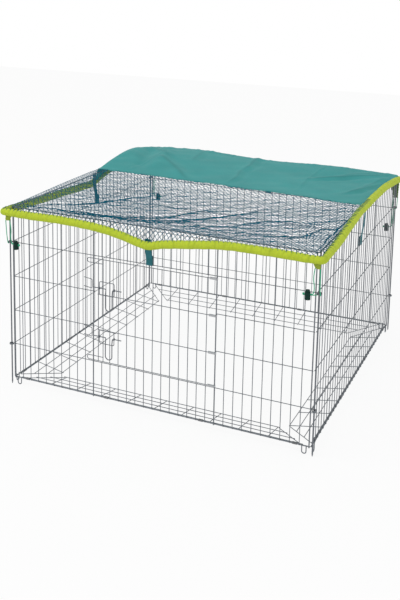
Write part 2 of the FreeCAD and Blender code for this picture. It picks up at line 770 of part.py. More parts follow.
# Shares of the half depth, and at each the swell's shares of its height at five places across.
SWELL_ACROSS = (-1, -0.57, 0, 0.57, 1)
SWELL_ROWS = (
    (0.03, (0, 0, 0, 0, 0)),
    (0.14, (0, 0, 0, 0, 0)),
    (0.305, (0.67, 0.45, 0.16, 0.04, 0)),
    (0.54, (1, 0.75, 0.30, 0.09, 0)),
    (0.72, (0.93, 0.76, 0.36, 0.13, 0)),
    (0.83, (0.71, 0.66, 0.38, 0.16, 0)),
    (1, (0.45, 0.45, 0.31, 0.13, 0)),
)


def swell_points(z):
    """Rows of points of the spread shade, with its flat parts at a height."""
    half_x, half_y = HALF_W + SKIRT_OUT, HALF_D + SKIRT_OUT
    return [[V(half_x * across, half_y * deep, z + size("swell_height") * share)
             for across, share in zip(SWELL_ACROSS, shares)] for deep, shares in SWELL_ROWS]


def triangles(one, two, three, four):
    """Two flat faces that close a four-sided patch."""
    return [Part.Face(Part.makePolygon([one, two, three, one])),
            Part.Face(Part.makePolygon([one, three, four, one]))]


def swell_roof():
    """Spread shade as a closed solid of flat faces, swollen at its left end."""
    upper, lower = swell_points(SHEET_TOP), swell_points(SHEET_LOW)
    rows, columns = range(len(upper) - 1), range(len(SWELL_ACROSS) - 1)
    faces = []
    for net in (upper, lower):
        for r in rows:
            for c in columns:
                faces += triangles(net[r][c], net[r][c + 1], net[r + 1][c + 1], net[r + 1][c])
    for c in columns:
        for r in (0, -1):
            faces += triangles(lower[r][c], lower[r][c + 1], upper[r][c + 1], upper[r][c])
    for r in rows:
        for c in (0, -1):
            faces += triangles(lower[r][c], lower[r + 1][c], upper[r + 1][c], upper[r][c])
    shell = Part.makeShell(faces)
    shell.sewShape()
    solid = Part.makeSolid(shell)
    if solid.Volume < 0:
        solid.reverse()
    return feature("roof", solid)


def edge_tops(side):
    """Upper edge of a side's strip, as places along it and heights."""
    turn, span, distance = SIDES[side]
    half = size(span) / 2 + SKIRT_OUT
    rows = swell_points(SHEET_TOP)
    if side == "back":
        return [(-spot.x, spot.z) for spot in reversed(rows[-1])]
    if side == "left":
        return [(-row[0].y, row[0].z) for row in reversed(rows[1:])] + [(half, SHEET_TOP)]
    return [(-half, SHEET_TOP), (half, SHEET_TOP)]


def skirt(side):
    """Upright strip from the sheet down to the rim's middle line, where the rim hangs below the sheet."""
    turn, span, distance = SIDES[side]
    half = size(span) / 2 + SKIRT_OUT
    heights = [(-half, rim_at(side, -half)[1])] + [(x, z) for x, out, z in RIM[side][1:-1]]
    heights.append((half, rim_at(side, half)[1]))
    low = SHEET_LOW
    lower = []
    for (x0, z0), (x1, z1) in zip(heights, heights[1:]):
        if z0 < low:
            lower.append((x0, z0))
        if (z0 < low) != (z1 < low):
            share = (low - z0) / (z1 - z0)
            lower.append((x0 + (x1 - x0) * share, low))
    if heights[-1][1] < low:
        lower.append(heights[-1])
    y = -(WELD_IN + SKIRT_OUT)
    outline = [V(x, y, z) for x, z in lower + edge_tops(side)[::-1]]
    strip = feature("skirt", prism(outline, V(0, size("skirt_sheet"), 0)))
    strip.Placement = side_placement(side)
    return strip


def seated(spread, sides):
    """Sheet joined to the strips of some sides and hollowed beside their rims."""
    body = fused([spread] + [skirt(side) for side in sides])
    for side in sides:
        spots = rim_spots(side)
        for start, end in zip(spots, spots[1:]):
            run = end - start
            seat = disc("dims.rim_diameter / 2 + dims.rim_air", "%.6f" % run.Length, start, run)
            body = cut(body, seat)
    return body


def net_sheet():
    """Net spread over the front of the run as a flat sheet with an open grid."""
    width = "dims.run_width + 2 * (dims.rod_wire / 2 + dims.skirt_air + dims.skirt_sheet)"
    depth = "dims.run_depth + 2 * (dims.rod_wire / 2 + dims.skirt_air + dims.skirt_sheet)"
    corner = V(-HALF_W - SKIRT_OUT, -HALF_D - SKIRT_OUT, SHEET_LOW)
    plate = block(width, depth, "dims.cover_sheet", corner)
    border, band = size("net_border"), size("net_band")
    across, deep = int(size("net_bays_across")), int(size("net_bays_deep"))
    back = min(size("seam_left"), size("seam_middle"), size("seam_right")) - border
    pitch_x = (2 * (HALF_W - border) + band) / across
    pitch_y = (back + HALF_D - border + band) / deep
    bays = []
    for i in range(across):
        for j in range(deep):
            low = V(border - HALF_W + i * pitch_x, border - HALF_D + j * pitch_y, SHEET_LOW - band)
            bays.append(Part.makeBox(pitch_x - band, pitch_y - band, 2 * band + size("cover_sheet"), low))
    return cut(plate, feature("bays", Part.makeCompound(bays)))


def cover_part(label, body, back):
    """The part of a sheet before or behind the seam between net and shade."""
    wide = size("run_width")
    far = size("run_depth") * (1 if back else -1)
    edge = HALF_W + SKIRT_OUT
    tilt_left = size("seam_left") - (wide - edge) * (size("seam_middle") - size("seam_left")) / edge
    tilt_right = size("seam_right") + (wide - edge) * (size("seam_right") - size("seam_middle")) / edge
    outline = [V(-wide, tilt_left, 0), V(0, size("seam_middle"), 0), V(wide, tilt_right, 0),
               V(wide, far, 0), V(-wide, far, 0)]
    region = feature("region", prism(outline, V(0, 0, 2 * TOP)))
    return group(label, [common(body, region)])


def cover_strap(side):
    """Webbing from the rim down outside the panel, round its upper eye-level wire and up again inside."""
    turn, span, distance = SIDES[side]
    bay = size("web_bay_left") if side == "left" else size("web_bay")
    half_sheet = size("web_sheet") / 2
    hold_z = level(size("eye_level_high")) + (EYE_LIFT if side in ("left", "right") else 0)
    wrap = GRID_R + size("web_air") + half_sheet
    outside, inside = GRID_R - wrap, GRID_R + wrap
    x = upright_x(bay, span)
    spots = [rim_at(side, x + hand * size("web_width") / 2) for hand in (-1, 0, 1)]
    rim_out, rim_z = min(spots, key=lambda spot: spot[1])
    lean = 1 if rim_z < SHEET_LOW else -1
    reach = RIM_R + half_sheet + size("web_air")
    top = V(0, lean * reach / 2 - rim_out - WELD_IN, rim_z - reach * math.sqrt(3) / 2)
    knee = V(0, outside, hold_z + size("web_straight"))
    low_out = V(0, outside, hold_z)
    bottom = V(0, GRID_R, hold_z - wrap)
    low_in = V(0, inside, hold_z)
    end = V(0, inside, hold_z + size("web_return"))
    edges = [Part.LineSegment(top, knee).toShape(), Part.LineSegment(knee, low_out).toShape(),
             Part.Arc(low_out, bottom, low_in).toShape(), Part.LineSegment(low_in, end).toShape()]
    band = Part.Wire(edges).makeOffset2D(half_sheet, 0, False, False, False)
    solid = Part.Face(band).extrude(V(size("web_width"), 0, 0))
    strap = feature("webbing", solid)
    place = Placement(V(x - size("web_width") / 2, 0, 0), Rotation())
    strap.Placement = side_placement(side).multiply(place)
    return group("cover_strap_" + side, [strap])


# ------------------------------------------------------------------ corner tabs, elastics, cord locks
CORNERS = {
    "front_left": (-1, -1, "tab_front", "lock_drop_front"),
    "front_right": (1, -1, "tab_front", "lock_drop_front"),
    "back_left": (-1, 1, "tab_back", "lock_drop_back"),
    "back_right": (1, 1, "tab_back", "lock_drop_back"),
}


def at_corner(corner, along, out, z):
    """Point near a corner rod: along the front or back panel, outward from it, and up."""
    hand, face = CORNERS[corner][0], CORNERS[corner][1]
    return V(hand * (HALF_W - along), face * (HALF_D + out), z)


def tab_place(corner):
    """Corner tab: its far end along the panel, its middle outside the rod line, and its top under the rim."""
    side = "front" if CORNERS[corner][1] < 0 else "back"
    far = size("tab_width") - size("tab_start")
    out, z = rim_at(side, HALF_W - far)
    return far, out, z - RIM_R - size("tab_air")


def tab_bottom(corner):
    """Height of a corner tab's lower edge, where the elastic is sewn in."""
    far, out, top = tab_place(corner)
    return top - size(CORNERS[corner][2])


def corner_tab(corner):
    """Sewn tab that hangs under the rim's corner."""
    far, out, top = tab_place(corner)
    half_sheet = size("tab_sheet") / 2
    one = at_corner(corner, far, out - half_sheet, tab_bottom(corner))
    two = at_corner(corner, -size("tab_start"), out + half_sheet, top)
    low = V(min(one.x, two.x), min(one.y, two.y), one.z)
    return group("corner_tab_" + corner, [block("dims.tab_width", "dims.tab_sheet",
                                               "dims." + CORNERS[corner][2], low)])


def lock_height(corner):
    """Height of a cord lock's cord hole."""
    return level(size("eye_level_high")) - size(CORNERS[corner][3])


def slack_points(corner):
    """Slack strand, from the knot through the cord lock up to the corner tab."""
    z = lock_height(corner) + size("strand_pitch") / 2
    far, out, top = tab_place(corner)
    start = [(46, 14, z), (15, 14, z)]
    if CORNERS[corner][1] < 0:
        hanging = [(12.5, 15.5, z + 26), (18, 17.5, z + 56)]
    else:
        hanging = [(12.5, 15.5, z + 26), (16, 16.5, z + 62), (13, 15, z + 97)]
    return start + hanging + [(12, out, tab_bottom(corner) - size("cord_room"))]


def tight_points(corner):
    """Tight strand, from the knot through the cord lock, round the corner rod and up to the tab."""
    z_lock = lock_height(corner) - size("strand_pitch") / 2
    z_hook = level(size("eye_level_high")) - GRID_R - size("cord_wire") / 2 - size("cord_room")
    radius = ROD_R + size("cord_wire") / 2 + size("cord_room")
    if CORNERS[corner][1] < 0:
        lead = [(46, 14, z_lock), (17, 14, z_hook)]
    else:
        lead = [(46, 14, z_lock), (8, 14, z_lock), (7, 15.5, z_lock + 42), (8, 14, z_hook)]
    along, out, ignored = lead[-1]
    reach = math.hypot(along, out)
    angle = math.atan2(out, along) + math.pi + math.asin(radius / reach)
    run = (out + radius) / -math.sin(angle)
    wrap = [(along + run * math.cos(angle), -radius, z_hook), (-radius, -radius, z_hook)]
    tab_out = tab_place(corner)[1]
    rise = [(-radius, 13, z_hook), (-radius, tab_out, tab_bottom(corner) - size("cord_room"))]
    return lead + wrap + rise, radius, len(lead)


def corner_radii(points, fixed):
    """Arc radii of a cord: 0.45 of the shorter run over the tangent of half the turn, unless fixed."""
    radii = []
    for number in range(1, len(points) - 1):
        before, after = points[number] - points[number - 1], points[number + 1] - points[number]
        half_turn = before.getAngle(after) / 2
        free = 0.45 * min(before.Length, after.Length) / math.tan(half_turn)
        radii.append(fixed.get(number, free))
    return radii


def elastic(corner):
    """Elastic cord: a slack and a tight strand whose tails pass the cord lock and end in one knot."""
    slack = [at_corner(corner, *point) for point in slack_points(corner)]
    tight, rod_radius, lead = tight_points(corner)
    tight = [at_corner(corner, *point) for point in tight]
    solids = []
    held = {lead: rod_radius, lead + 1: rod_radius}
    if CORNERS[corner][1] < 0:
        held[1] = size("lock_turn")
    for name, points, fixed in (("slack", slack, {}), ("tight", tight, held)):
        radii = corner_radii(points, fixed)
        solid, length = bent_wire(points, radii, size("cord_wire"))
        solids.append(feature(name + "_strand", solid))
        section = math.pi * size("cord_wire") ** 2 / 4
        print("%s %s strand: length %.1f, radii %s, volume error %.4f" % (
            corner, name, length, " ".join("%.1f" % radius for radius in radii),
            abs(solid.Volume) / (section * length) - 1))
    knot = add("Part::Sphere", "knot")
    knot.setExpression("Radius", "dims.knot_diameter / 2")
    middle = at_corner(corner, size("knot_along"), size("lock_out"), lock_height(corner))
    knot.Placement = Placement(middle, Rotation())
    solids.append(cut(knot, fused(list(solids))))
    return group("elastic_" + corner, solids)


def cord_slot(room, travel, reach):
    """Slot for the two strands, one above the other, stretched upward by travel."""
    half = size("strand_pitch") / 2
    low = disc(room, reach, V(-size("lock_diameter"), 0, -half), X_AXIS)
    high = disc(room, reach, V(-size("lock_diameter"), 0, half + travel), X_AXIS)
    radius = size("cord_wire") / 2 + size("cord_room")
    middle = block(reach, "2 * (%s)" % room, "%.6f" % (2 * half + travel),
                   V(-size("lock_diameter"), -radius, -half))
    return fused([low, high, middle])


def lock_barrel():
    """Barrel of a cord lock: a cup with a slot across it for the cord."""
    outer = disc("dims.lock_diameter / 2", "dims.lock_below + dims.lock_above",
                 V(0, 0, -size("lock_below")), Z_AXIS)
    bore = disc("dims.lock_diameter / 2 - dims.lock_wall", "dims.lock_below + dims.lock_above",
                V(0, 0, size("lock_wall") - size("lock_below")), Z_AXIS)
    slot = cord_slot("dims.cord_wire / 2 + dims.cord_room", 0, "2 * dims.lock_diameter")
    return cut(outer, fused([bore, slot]))


def lock_plunger():
    """Plunger of a cord lock; its slot is longer than the barrel's by the travel."""
    length = "dims.plunger_below + dims.lock_above + dims.plunger_proud"
    body = disc("dims.lock_diameter / 2 - dims.lock_wall - dims.plunger_fit", length,
                V(0, 0, -size("plunger_below")), Z_AXIS)
    slot = cord_slot("dims.cord_wire / 2 + dims.cord_room", size("plunger_travel"), "2 * dims.lock_diameter")
    return cut(body, slot)


def lock_spring():
    """Coil spring between the barrel's floor and the plunger: short runs round a rising polygon."""
    radius = size("spring_wire") / 2
    floor = size("lock_wall") - size("lock_below")
    height = -size("plunger_below") - floor - 2 * radius - 2 * size("spring_air")
    corners = int(size("spring_turns") * size("spring_corners"))
    points = []
    for number in range(corners + 1):
        angle = 2 * math.pi * number / size("spring_corners")
        across = V(math.cos(angle), math.sin(angle), 0) * size("spring_radius")
        points.append(across + V(0, 0, height * number / corners))
    coil, length = bent_wire(points, corner_radii(points, {}), size("spring_wire"))
    spring = feature("spring", coil)
    spring.Placement = Placement(V(0, 0, floor + radius + size("spring_air")), Rotation())
    return spring


def cord_locks():
    """Barrel, plunger and spring of the cord lock at each corner."""
    masters = {"barrel": lock_barrel(), "plunger": lock_plunger(), "spring": lock_spring()}
    doc.recompute()
    for corner in CORNERS:
        spot = at_corner(corner, size("lock_along"), size("lock_out"), lock_height(corner))
        for piece, master in masters.items():
            copies("lock_%s_%s" % (piece, corner), master, [Placement(spot, Rotation())])


# ------------------------------------------------------------------ the run
for side_name in SIDES:
    panel(side_name)
rest_feet()
for corner_name, (hand_x, hand_y, tab, drop) in CORNERS.items():
    corner_rod("corner_rod_" + corner_name, hand_x * HALF_W, hand_y * HALF_D)
clip = clip_master()
doc.recompute()
for side_name in SIDES:
    barrier(side_name)
    barrier_clips(side_name, clip)
door()
door_straps()
latch("latch_upper", DOOR_MIDDLES[-1])
latch("latch_lower", DOOR_MIDDLES[0] - size("bracket_height"))
cover_part("cover_net", seated(net_sheet(), ("front", "right", "left")), False)
cover_part("cover_shade", seated(swell_roof(), ("right", "back", "left")), True)
for side_name in SIDES:
    rim_side(side_name)
    cover_strap(side_name)
for corner_name in CORNERS:
    corner_tab(corner_name)
    elastic(corner_name)
cord_locks()

doc.recompute()
for item in doc.Objects:
    if "Invalid" in item.State or "Error" in item.State:
        raise RuntimeError("%s failed: %s %s" % (item.Name, item.State, [b.Name for b in item.OutList]))
for holder in nodes:
    if holder.Shape.isNull() or not holder.Shape.isValid() or not holder.Shape.Solids:
        raise RuntimeError("%s has no valid shape" % holder.Label)
os.makedirs("parts", exist_ok=True)
for holder in nodes:
    holder.Shape.exportStep("parts/%s.step" % holder.Label)
print("%d nodes, %d solids" % (len(nodes), sum(len(holder.Shape.Solids) for holder in nodes)))
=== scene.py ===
import math

import bpy
import numpy as np
from bpy.props import FloatProperty, FloatVectorProperty, PointerProperty
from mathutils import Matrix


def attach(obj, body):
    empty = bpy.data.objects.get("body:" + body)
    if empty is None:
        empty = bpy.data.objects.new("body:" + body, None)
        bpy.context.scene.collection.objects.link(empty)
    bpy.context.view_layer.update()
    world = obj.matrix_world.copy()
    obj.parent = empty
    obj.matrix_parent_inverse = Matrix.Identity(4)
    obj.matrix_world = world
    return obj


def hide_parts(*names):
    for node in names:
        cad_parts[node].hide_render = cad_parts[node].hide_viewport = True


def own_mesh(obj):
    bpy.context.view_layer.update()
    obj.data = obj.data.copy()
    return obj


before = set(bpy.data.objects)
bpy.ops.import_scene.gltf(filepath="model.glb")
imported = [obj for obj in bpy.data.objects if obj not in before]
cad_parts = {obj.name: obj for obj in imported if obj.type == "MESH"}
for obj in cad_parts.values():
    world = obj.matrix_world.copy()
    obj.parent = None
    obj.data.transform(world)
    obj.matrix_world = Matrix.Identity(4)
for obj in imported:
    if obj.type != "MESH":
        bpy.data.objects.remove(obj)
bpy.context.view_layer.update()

bl_info = {
    "name": "Outdoor Rabbit Run",
    "version": (1, 0, 0),
    "blender": (4, 5, 0),
    "location": "View3D > Sidebar > Rabbit Run",
    "description": "Wire run with a net and shade cover, a padded rim, straps and elastic corner ties",
    "category": "Add Mesh",
}

TAU = 2 * math.pi
UP = np.array((0.0, 0.0, 1.0))
WHITE = (1.0, 1.0, 1.0, 1.0)

# Rod lines stand at this distance from the middle; "out" is measured outward from them.
ROD_LINE = 0.575
# Plane in which uprights and lying wires touch, and the plane of the lying wires' axes.
WELD_PLANE = -0.0062
WIRE_PLANE = WELD_PLANE - 0.0013
RAIL_TOP = 0.676
# The cover lies this high on the rails, and bends down beyond this distance from the middle.
SHEET_Z = RAIL_TOP + 0.0034
EDGE = 0.569

CORNERS = {"front_left": (-1, -1), "front_right": (1, -1), "back_left": (-1, 1), "back_right": (1, 1)}
# Direction along each side, left to right as seen from outside, and direction outward from it.
SIDE_AXES = {side: (np.array(run, float), np.cross(run, UP)) for side, run in (
    ("front", (1, 0, 0)), ("right", (0, 1, 0)), ("back", (-1, 0, 0)), ("left", (0, -1, 0)))}
SIDES = tuple(SIDE_AXES)

# Middle of the rim along each side: place along, distance outside the rod line, drop under the top rail.
RIM_LINES = {
    "front": ((-0.5945, 0.0195, 0.014), (-0.43, 0.0195, 0.0135), (-0.287, 0.0195, 0.014),
              (-0.21, 0.0195, 0.0195), (-0.13, 0.0195, 0.0305), (-0.06, 0.0195, 0.0455),
              (-0.0165, 0.0195, 0.056), (0.049, 0.0195, 0.043), (0.143, 0.0195, 0.029),
              (0.287, 0.0195, 0.0135), (0.43, 0.0195, 0.0135), (0.5875, 0.0195, 0.015)),
    "right": ((-0.5945, 0.0125, 0.015), (-0.55, 0.012, 0.012), (-0.45, 0.012, 0.006),
              (-0.35, 0.0115, -0.003), (-0.25, 0.009, -0.011), (-0.15, 0.006, -0.017),
              (0.0, 0.005, -0.019), (0.3, 0.0055, -0.017), (0.48, 0.0095, -0.005),
              (0.5945, 0.0125, 0.009)),
    "back": ((-0.5875, 0.017, 0.009), (0.0, 0.0195, 0.02), (0.5945, 0.017, 0.009)),
    "left": ((-0.592, 0.0175, 0.009), (-0.33, 0.0185, 0.015), (-0.19, 0.019, 0.02),
             (-0.12, 0.0195, 0.033), (-0.0496, 0.0195, 0.05), (0.03, 0.0195, 0.046),
             (0.3, 0.0195, 0.031), (0.5945, 0.0195, 0.014)),
}
# Front edge of the shade: x, y.
SEAM = ((-0.6, 0.063), (-0.47, 0.069), (-0.288, 0.077), (-0.109, 0.076), (0.125, 0.072),
        (0.31, 0.066), (0.469, 0.051), (0.6, 0.041))
# Height of the cover over its rails at places x (columns) and y (rows).
HEIGHT_X = (-0.575, -0.33, 0.0, 0.33, 0.575)
HEIGHT_Y = (-0.575, -0.28, 0.0, 0.064, 0.177, 0.314, 0.417, 0.483, 0.575)
HEIGHTS = (
    (0.0, 0.0, 0.0, 0.0, 0.0),
    (0.01, -0.006, -0.012, -0.009, 0.0),
    (0.013, -0.002, -0.008, -0.007, 0.0),
    (0.012, 0.005, 0.001, 0.0, 0.0),
    (0.03, 0.02, 0.007, 0.002, 0.0),
    (0.045, 0.033, 0.013, 0.004, 0.0),
    (0.042, 0.034, 0.016, 0.006, 0.0),
    (0.03, 0.033, 0.018, 0.014, 0.005),
    (0.017, 0.027, 0.013, 0.019, 0.01),
)
# Bunched folds of the net: x, y along each.
FOLDS = (
    ((-0.542, -0.551), (-0.474, -0.467), (-0.392, -0.39), (-0.354, -0.337), (-0.304, -0.243),
     (-0.203, -0.101)),
    ((-0.542, -0.547), (-0.402, -0.513), (-0.31, -0.494), (-0.232, -0.467), (-0.144, -0.422),
     (-0.053, -0.364), (0.001, -0.258), (0.075, -0.147)),
    ((-0.402, -0.523), (-0.247, -0.503), (-0.168, -0.498), (-0.096, -0.484), (0.0, -0.427),
     (0.064, -0.339), (0.164, -0.203), (0.241, -0.106)),
    ((0.069, -0.49), (0.161, -0.408), (0.208, -0.376), (0.275, -0.27), (0.363, -0.223),
     (0.443, -0.223), (0.528, -0.128)),
    ((0.363, -0.459), (0.408, -0.429), (0.457, -0.41), (0.489, -0.309), (0.547, -0.271)),
    ((0.557, -0.585), (0.556, -0.42), (0.553, -0.2), (0.554, 0.06)),
)
# How strongly each fold gathers the net.
FOLD_GATHER = (0.8, 1.1, 1.2, 0.6, 0.85, 0.8)
# Half widths of a fold's tight pull, of its broad pull and of its hanging bottom.
TIGHT, BROAD, BOTTOM = 0.03, 0.085, 0.02
# The net is stretched from its left edge, before and after its folds: how far, round which x, how
# wide across the run, and how far from STRETCHED_Y it fades.
STRETCHES = ((0.036, -0.4, 0.14, 0.33), (0.026, -0.44, 0.13, 0.3))
STRETCHED_Y = -0.2
# Its middle is drawn forward by this much.
FORWARD = 0.045
# Creases of the shade: x, y of both ends, height, half width.
CREASES = (
    ((-0.03, 0.59), (-0.018, 0.286), 0.006, 0.015),
    ((-0.018, 0.33), (-0.001, 0.09), 0.0032, 0.013),
    ((-0.422, 0.334), (-0.129, 0.06), 0.0045, 0.022),
    ((-0.52, 0.47), (-0.395, 0.085), -0.013, 0.036),
    ((0.554, 0.56), (0.215, 0.3), 0.004, 0.014),
    ((0.545, 0.59), (0.234, 0.315), 0.003, 0.016),
    ((0.563, 0.534), (0.44, 0.15), 0.0032, 0.014),
    ((0.57, 0.45), (0.42, 0.13), 0.0025, 0.012),
    ((-0.56, 0.52), (-0.33, 0.3), 0.003, 0.022),
    ((-0.3, 0.56), (-0.24, 0.3), 0.0025, 0.016),
    ((-0.44, 0.09), (-0.42, 0.46), 0.0016, 0.006),
    ((0.27, 0.575), (0.265, 0.09), 0.0018, 0.006),
)
# Elastic strands: length, and points from the knot to the tab (along the panel, outward, up).
CORD_DIAMETER = 0.003
STRANDS = {
    ("front", "slack"): (0.1144, (
        (0.046, 0.014, 0.5464), (0.028, 0.014, 0.5464), (0.015, 0.014, 0.5464), (0.0125, 0.0155, 0.5724),
        (0.018, 0.0175, 0.6024), (0.012, 0.0195, 0.63331))),
    ("front", "tight"): (0.1612, (
        (0.046, 0.014, 0.5426), (0.017, 0.014, 0.5428), (0.0021, -0.0044, 0.5428),
        (-0.0044, -0.0044, 0.5428), (-0.0044, 0.013, 0.5428), (-0.0044, 0.0195, 0.63331))),
    ("back", "slack"): (0.1565, (
        (0.046, 0.014, 0.4569), (0.028, 0.014, 0.4569), (0.015, 0.014, 0.4569), (0.0125, 0.0155, 0.4829),
        (0.016, 0.0165, 0.5189), (0.013, 0.015, 0.5539), (0.012, 0.0195, 0.58623))),
    ("back", "tight"): (0.1996, (
        (0.046, 0.014, 0.4531), (0.008, 0.014, 0.4531), (0.007, 0.0155, 0.4951), (0.008, 0.014, 0.5428),
        (0.00345, -0.0044, 0.5428), (-0.0044, -0.0044, 0.5428), (-0.0044, 0.013, 0.5428),
        (-0.0044, 0.0195, 0.58623))),
}
# The padded rim: spacing of its rings, width of the bell curve that rounds its corners, angles of
# its deepest puckers, of its sewn groove and of the stitches beside it.
RIM_STEP = 0.0022
RIM_EASING = 0.01
PUCKER_ANGLE, GROOVE_ANGLE, STITCH_ANGLE = 0.9, 0.95, 0.8
# Sine waves round the rim (height, turns, twist, start) that shift its puckers and swell its tube.
PUCKER_SHIFTS = ((2.6, 17, 0, 0), (1.9, 41, 0, 2), (1.5, 89, 0, 1))
LUMPS = ((0.0005, 23, 1, 0), (0.0003, 71, -1, 0), (0.0002, 113, 2, 0))
# Lengths of one wave of the weaves, in metres.
RIM_WEAVE, SHADE_WEAVE, TAPE_RIB, TAPE_WARP, TAB_KNIT = 0.0012, 0.001, 0.0017, 0.0024, 0.0052


# ------------------------------------------------------------------ settings
def length(name, default, text):
    """A length property in metres."""
    return FloatProperty(name=name, description=text, default=default, min=0.0, precision=5,
                         subtype="DISTANCE", unit="LENGTH")


def colour(name, default, text):
    """A colour property, in linear red, green and blue."""
    return FloatVectorProperty(name=name, description=text, default=default, size=3, min=0.0, max=1.0,
                               subtype="COLOR")


def power(name, default, text):
    """A lamp's power property in watts."""
    return FloatProperty(name=name, description=text, default=default, min=0.0, subtype="POWER",
                         unit="POWER")


class CoverSizes(bpy.types.PropertyGroup):
    net_bar: length("Net bar", 0.012, "Side of one mesh of the net")
    twine: length("Twine", 0.0019, "Diameter of the net twine")
    gather: length("Fold gather", 0.03, "How far the net is drawn into each side of a fold")
    fold_width: length("Fold width", 0.042, "Half width of a bunched fold")
    fold_drop: length("Fold depth", 0.008, "How far a fold hangs under the net")
    cloth: length("Shade cloth", 0.0011, "Thickness of the shade cloth")
    hem: length("Hem", 0.014, "Width of the shade's front hem")
    rim: length("Rim", 0.027, "Diameter of the padded rim")
    pucker_pitch: length("Pucker pitch", 0.019, "Distance between two puckers along the rim")
    pucker_depth: length("Pucker depth", 0.0015, "Depth of a pucker")
    lashing_pitch: length("Lashing pitch", 0.015, "Distance between two net loops on the rim")
    web_width: length("Webbing width", 0.024, "Width of a pull-down strap")
    web_sheet: length("Webbing", 0.0015, "Thickness of a pull-down strap")
    tab_sheet: length("Tab", 0.0014, "Thickness of a corner tab")


class CoverColours(bpy.types.PropertyGroup):
    lime: colour("Rim", (0.485, 0.6, 0.035), "Lime padding cloth")
    # The rim's second colour is painted shade, laid into its puckers and its sewn groove.
    lime_pucker_shade: colour("Rim valleys", (0.2, 0.3, 0.012), "Lime cloth down in the puckers")
    shade: colour("Shade", (0.047, 0.3, 0.295), "Teal shade cloth")
    net: colour("Net", (0.002, 0.098, 0.16), "Navy twine")
    webbing: colour("Webbing", (0.02, 0.175, 0.215), "Pull-down straps")
    tab: colour("Tabs", (0.085, 0.155, 0.045), "Corner tabs")
    elastic: colour("Elastic", (0.03, 0.42, 0.22), "Elastic cord")
    thread: colour("Thread", (0.03, 0.24, 0.215), "Sewing thread")


class MetalColours(bpy.types.PropertyGroup):
    zinc: colour("Zinc wire", (0.172, 0.187, 0.205), "Galvanised grid wires")
    rod: colour("Rods", (0.15, 0.163, 0.18), "Corner rods")
    plate: colour("Hinge straps", (0.42, 0.43, 0.445), "Bright bent sheet of the hinge straps")
    sheet: colour("Clips", (0.15, 0.155, 0.163), "Bent sheet clips")
    spring: colour("Springs", (0.4, 0.4, 0.4), "Spring steel")
    plastic: colour("Cord locks", (0.0035, 0.026, 0.02), "Moulded cord locks")


class StageSettings(bpy.types.PropertyGroup):
    floor: colour("Floor", (0.86, 0.86, 0.86), "Pale floor")
    sky: FloatProperty(name="Sky", description="Strength of the even light", default=0.78, min=0.0)
    key: power("Key", 62.0, "Power of the large lamp")
    fill: power("Fill", 16.0, "Power of the small lamp")


GROUPS = {"run_cover": CoverSizes, "run_cloths": CoverColours, "run_metals": MetalColours,
          "run_stage": StageSettings}


# ------------------------------------------------------------------ shader maths
class Value:
    """One number in a material; operators add Math nodes, with plain numbers on either side."""

    def __init__(self, nodes, socket):
        self.nodes = nodes
        self.socket = socket

    def __add__(self, other):
        return self.nodes.maths("ADD", self, other)

    def __radd__(self, other):
        return self.nodes.maths("ADD", other, self)

    def __sub__(self, other):
        return self.nodes.maths("SUBTRACT", self, other)

    def __rsub__(self, other):
        return self.nodes.maths("SUBTRACT", other, self)

    def __mul__(self, other):
        return self.nodes.maths("MULTIPLY", self, other)

    def __rmul__(self, other):
        return self.nodes.maths("MULTIPLY", other, self)

    def __abs__(self):
        return self.nodes.maths("ABSOLUTE", self)

    def wave(self, length_of_wave):
        """Sine wave of that length."""
        return self.nodes.maths("SINE", self * (TAU / length_of_wave))


class Nodes:
    """A node tree under construction and the methods that add to it."""

    def __init__(self, tree):
        self.tree = tree

    def node(self, kind, settings=None, sockets=None):
        """Adds a node of that type with its settings, then sets or links its sockets."""
        made = self.tree.nodes.new(kind)
        for key, value in (settings or {}).items():
            setattr(made, key, value)
        for key, value in (sockets or {}).items():
            self.feed(made.inputs[key], value)
        return made

    def feed(self, socket, value):
        """Links a socket to a Value or an output, or sets its plain value."""
        if isinstance(value, Value):
            value = value.socket
        if isinstance(value, bpy.types.NodeSocket):
            self.tree.links.new(value, socket)
        else:
            socket.default_value = value

    def maths(self, operation, *operands):
        node = self.node("ShaderNodeMath", {"operation": operation}, dict(enumerate(operands)))
        return Value(self, node.outputs[0])

    def whitened(self, lit, kind, share, end):
        """Ends the tree in a mix of a lit shader and, by that share, a white one of that kind where
        it is seen directly, in a mirror or through clear stuff."""
        rays = self.node("ShaderNodeLightPath").outputs
        camera, glossy, clear = (Value(self, rays["Is %s Ray" % ray])
                                 for ray in ("Camera", "Glossy", "Transmission"))
        white = self.node(kind, None, {"Color": WHITE, "Strength": 1.0})
        mix = self.node("ShaderNodeMixShader", None,
                        {0: (camera + glossy + clear) * share, 1: lit, 2: white.outputs[0]})
        self.feed(self.tree.nodes[end].inputs["Surface"], mix.outputs[0])


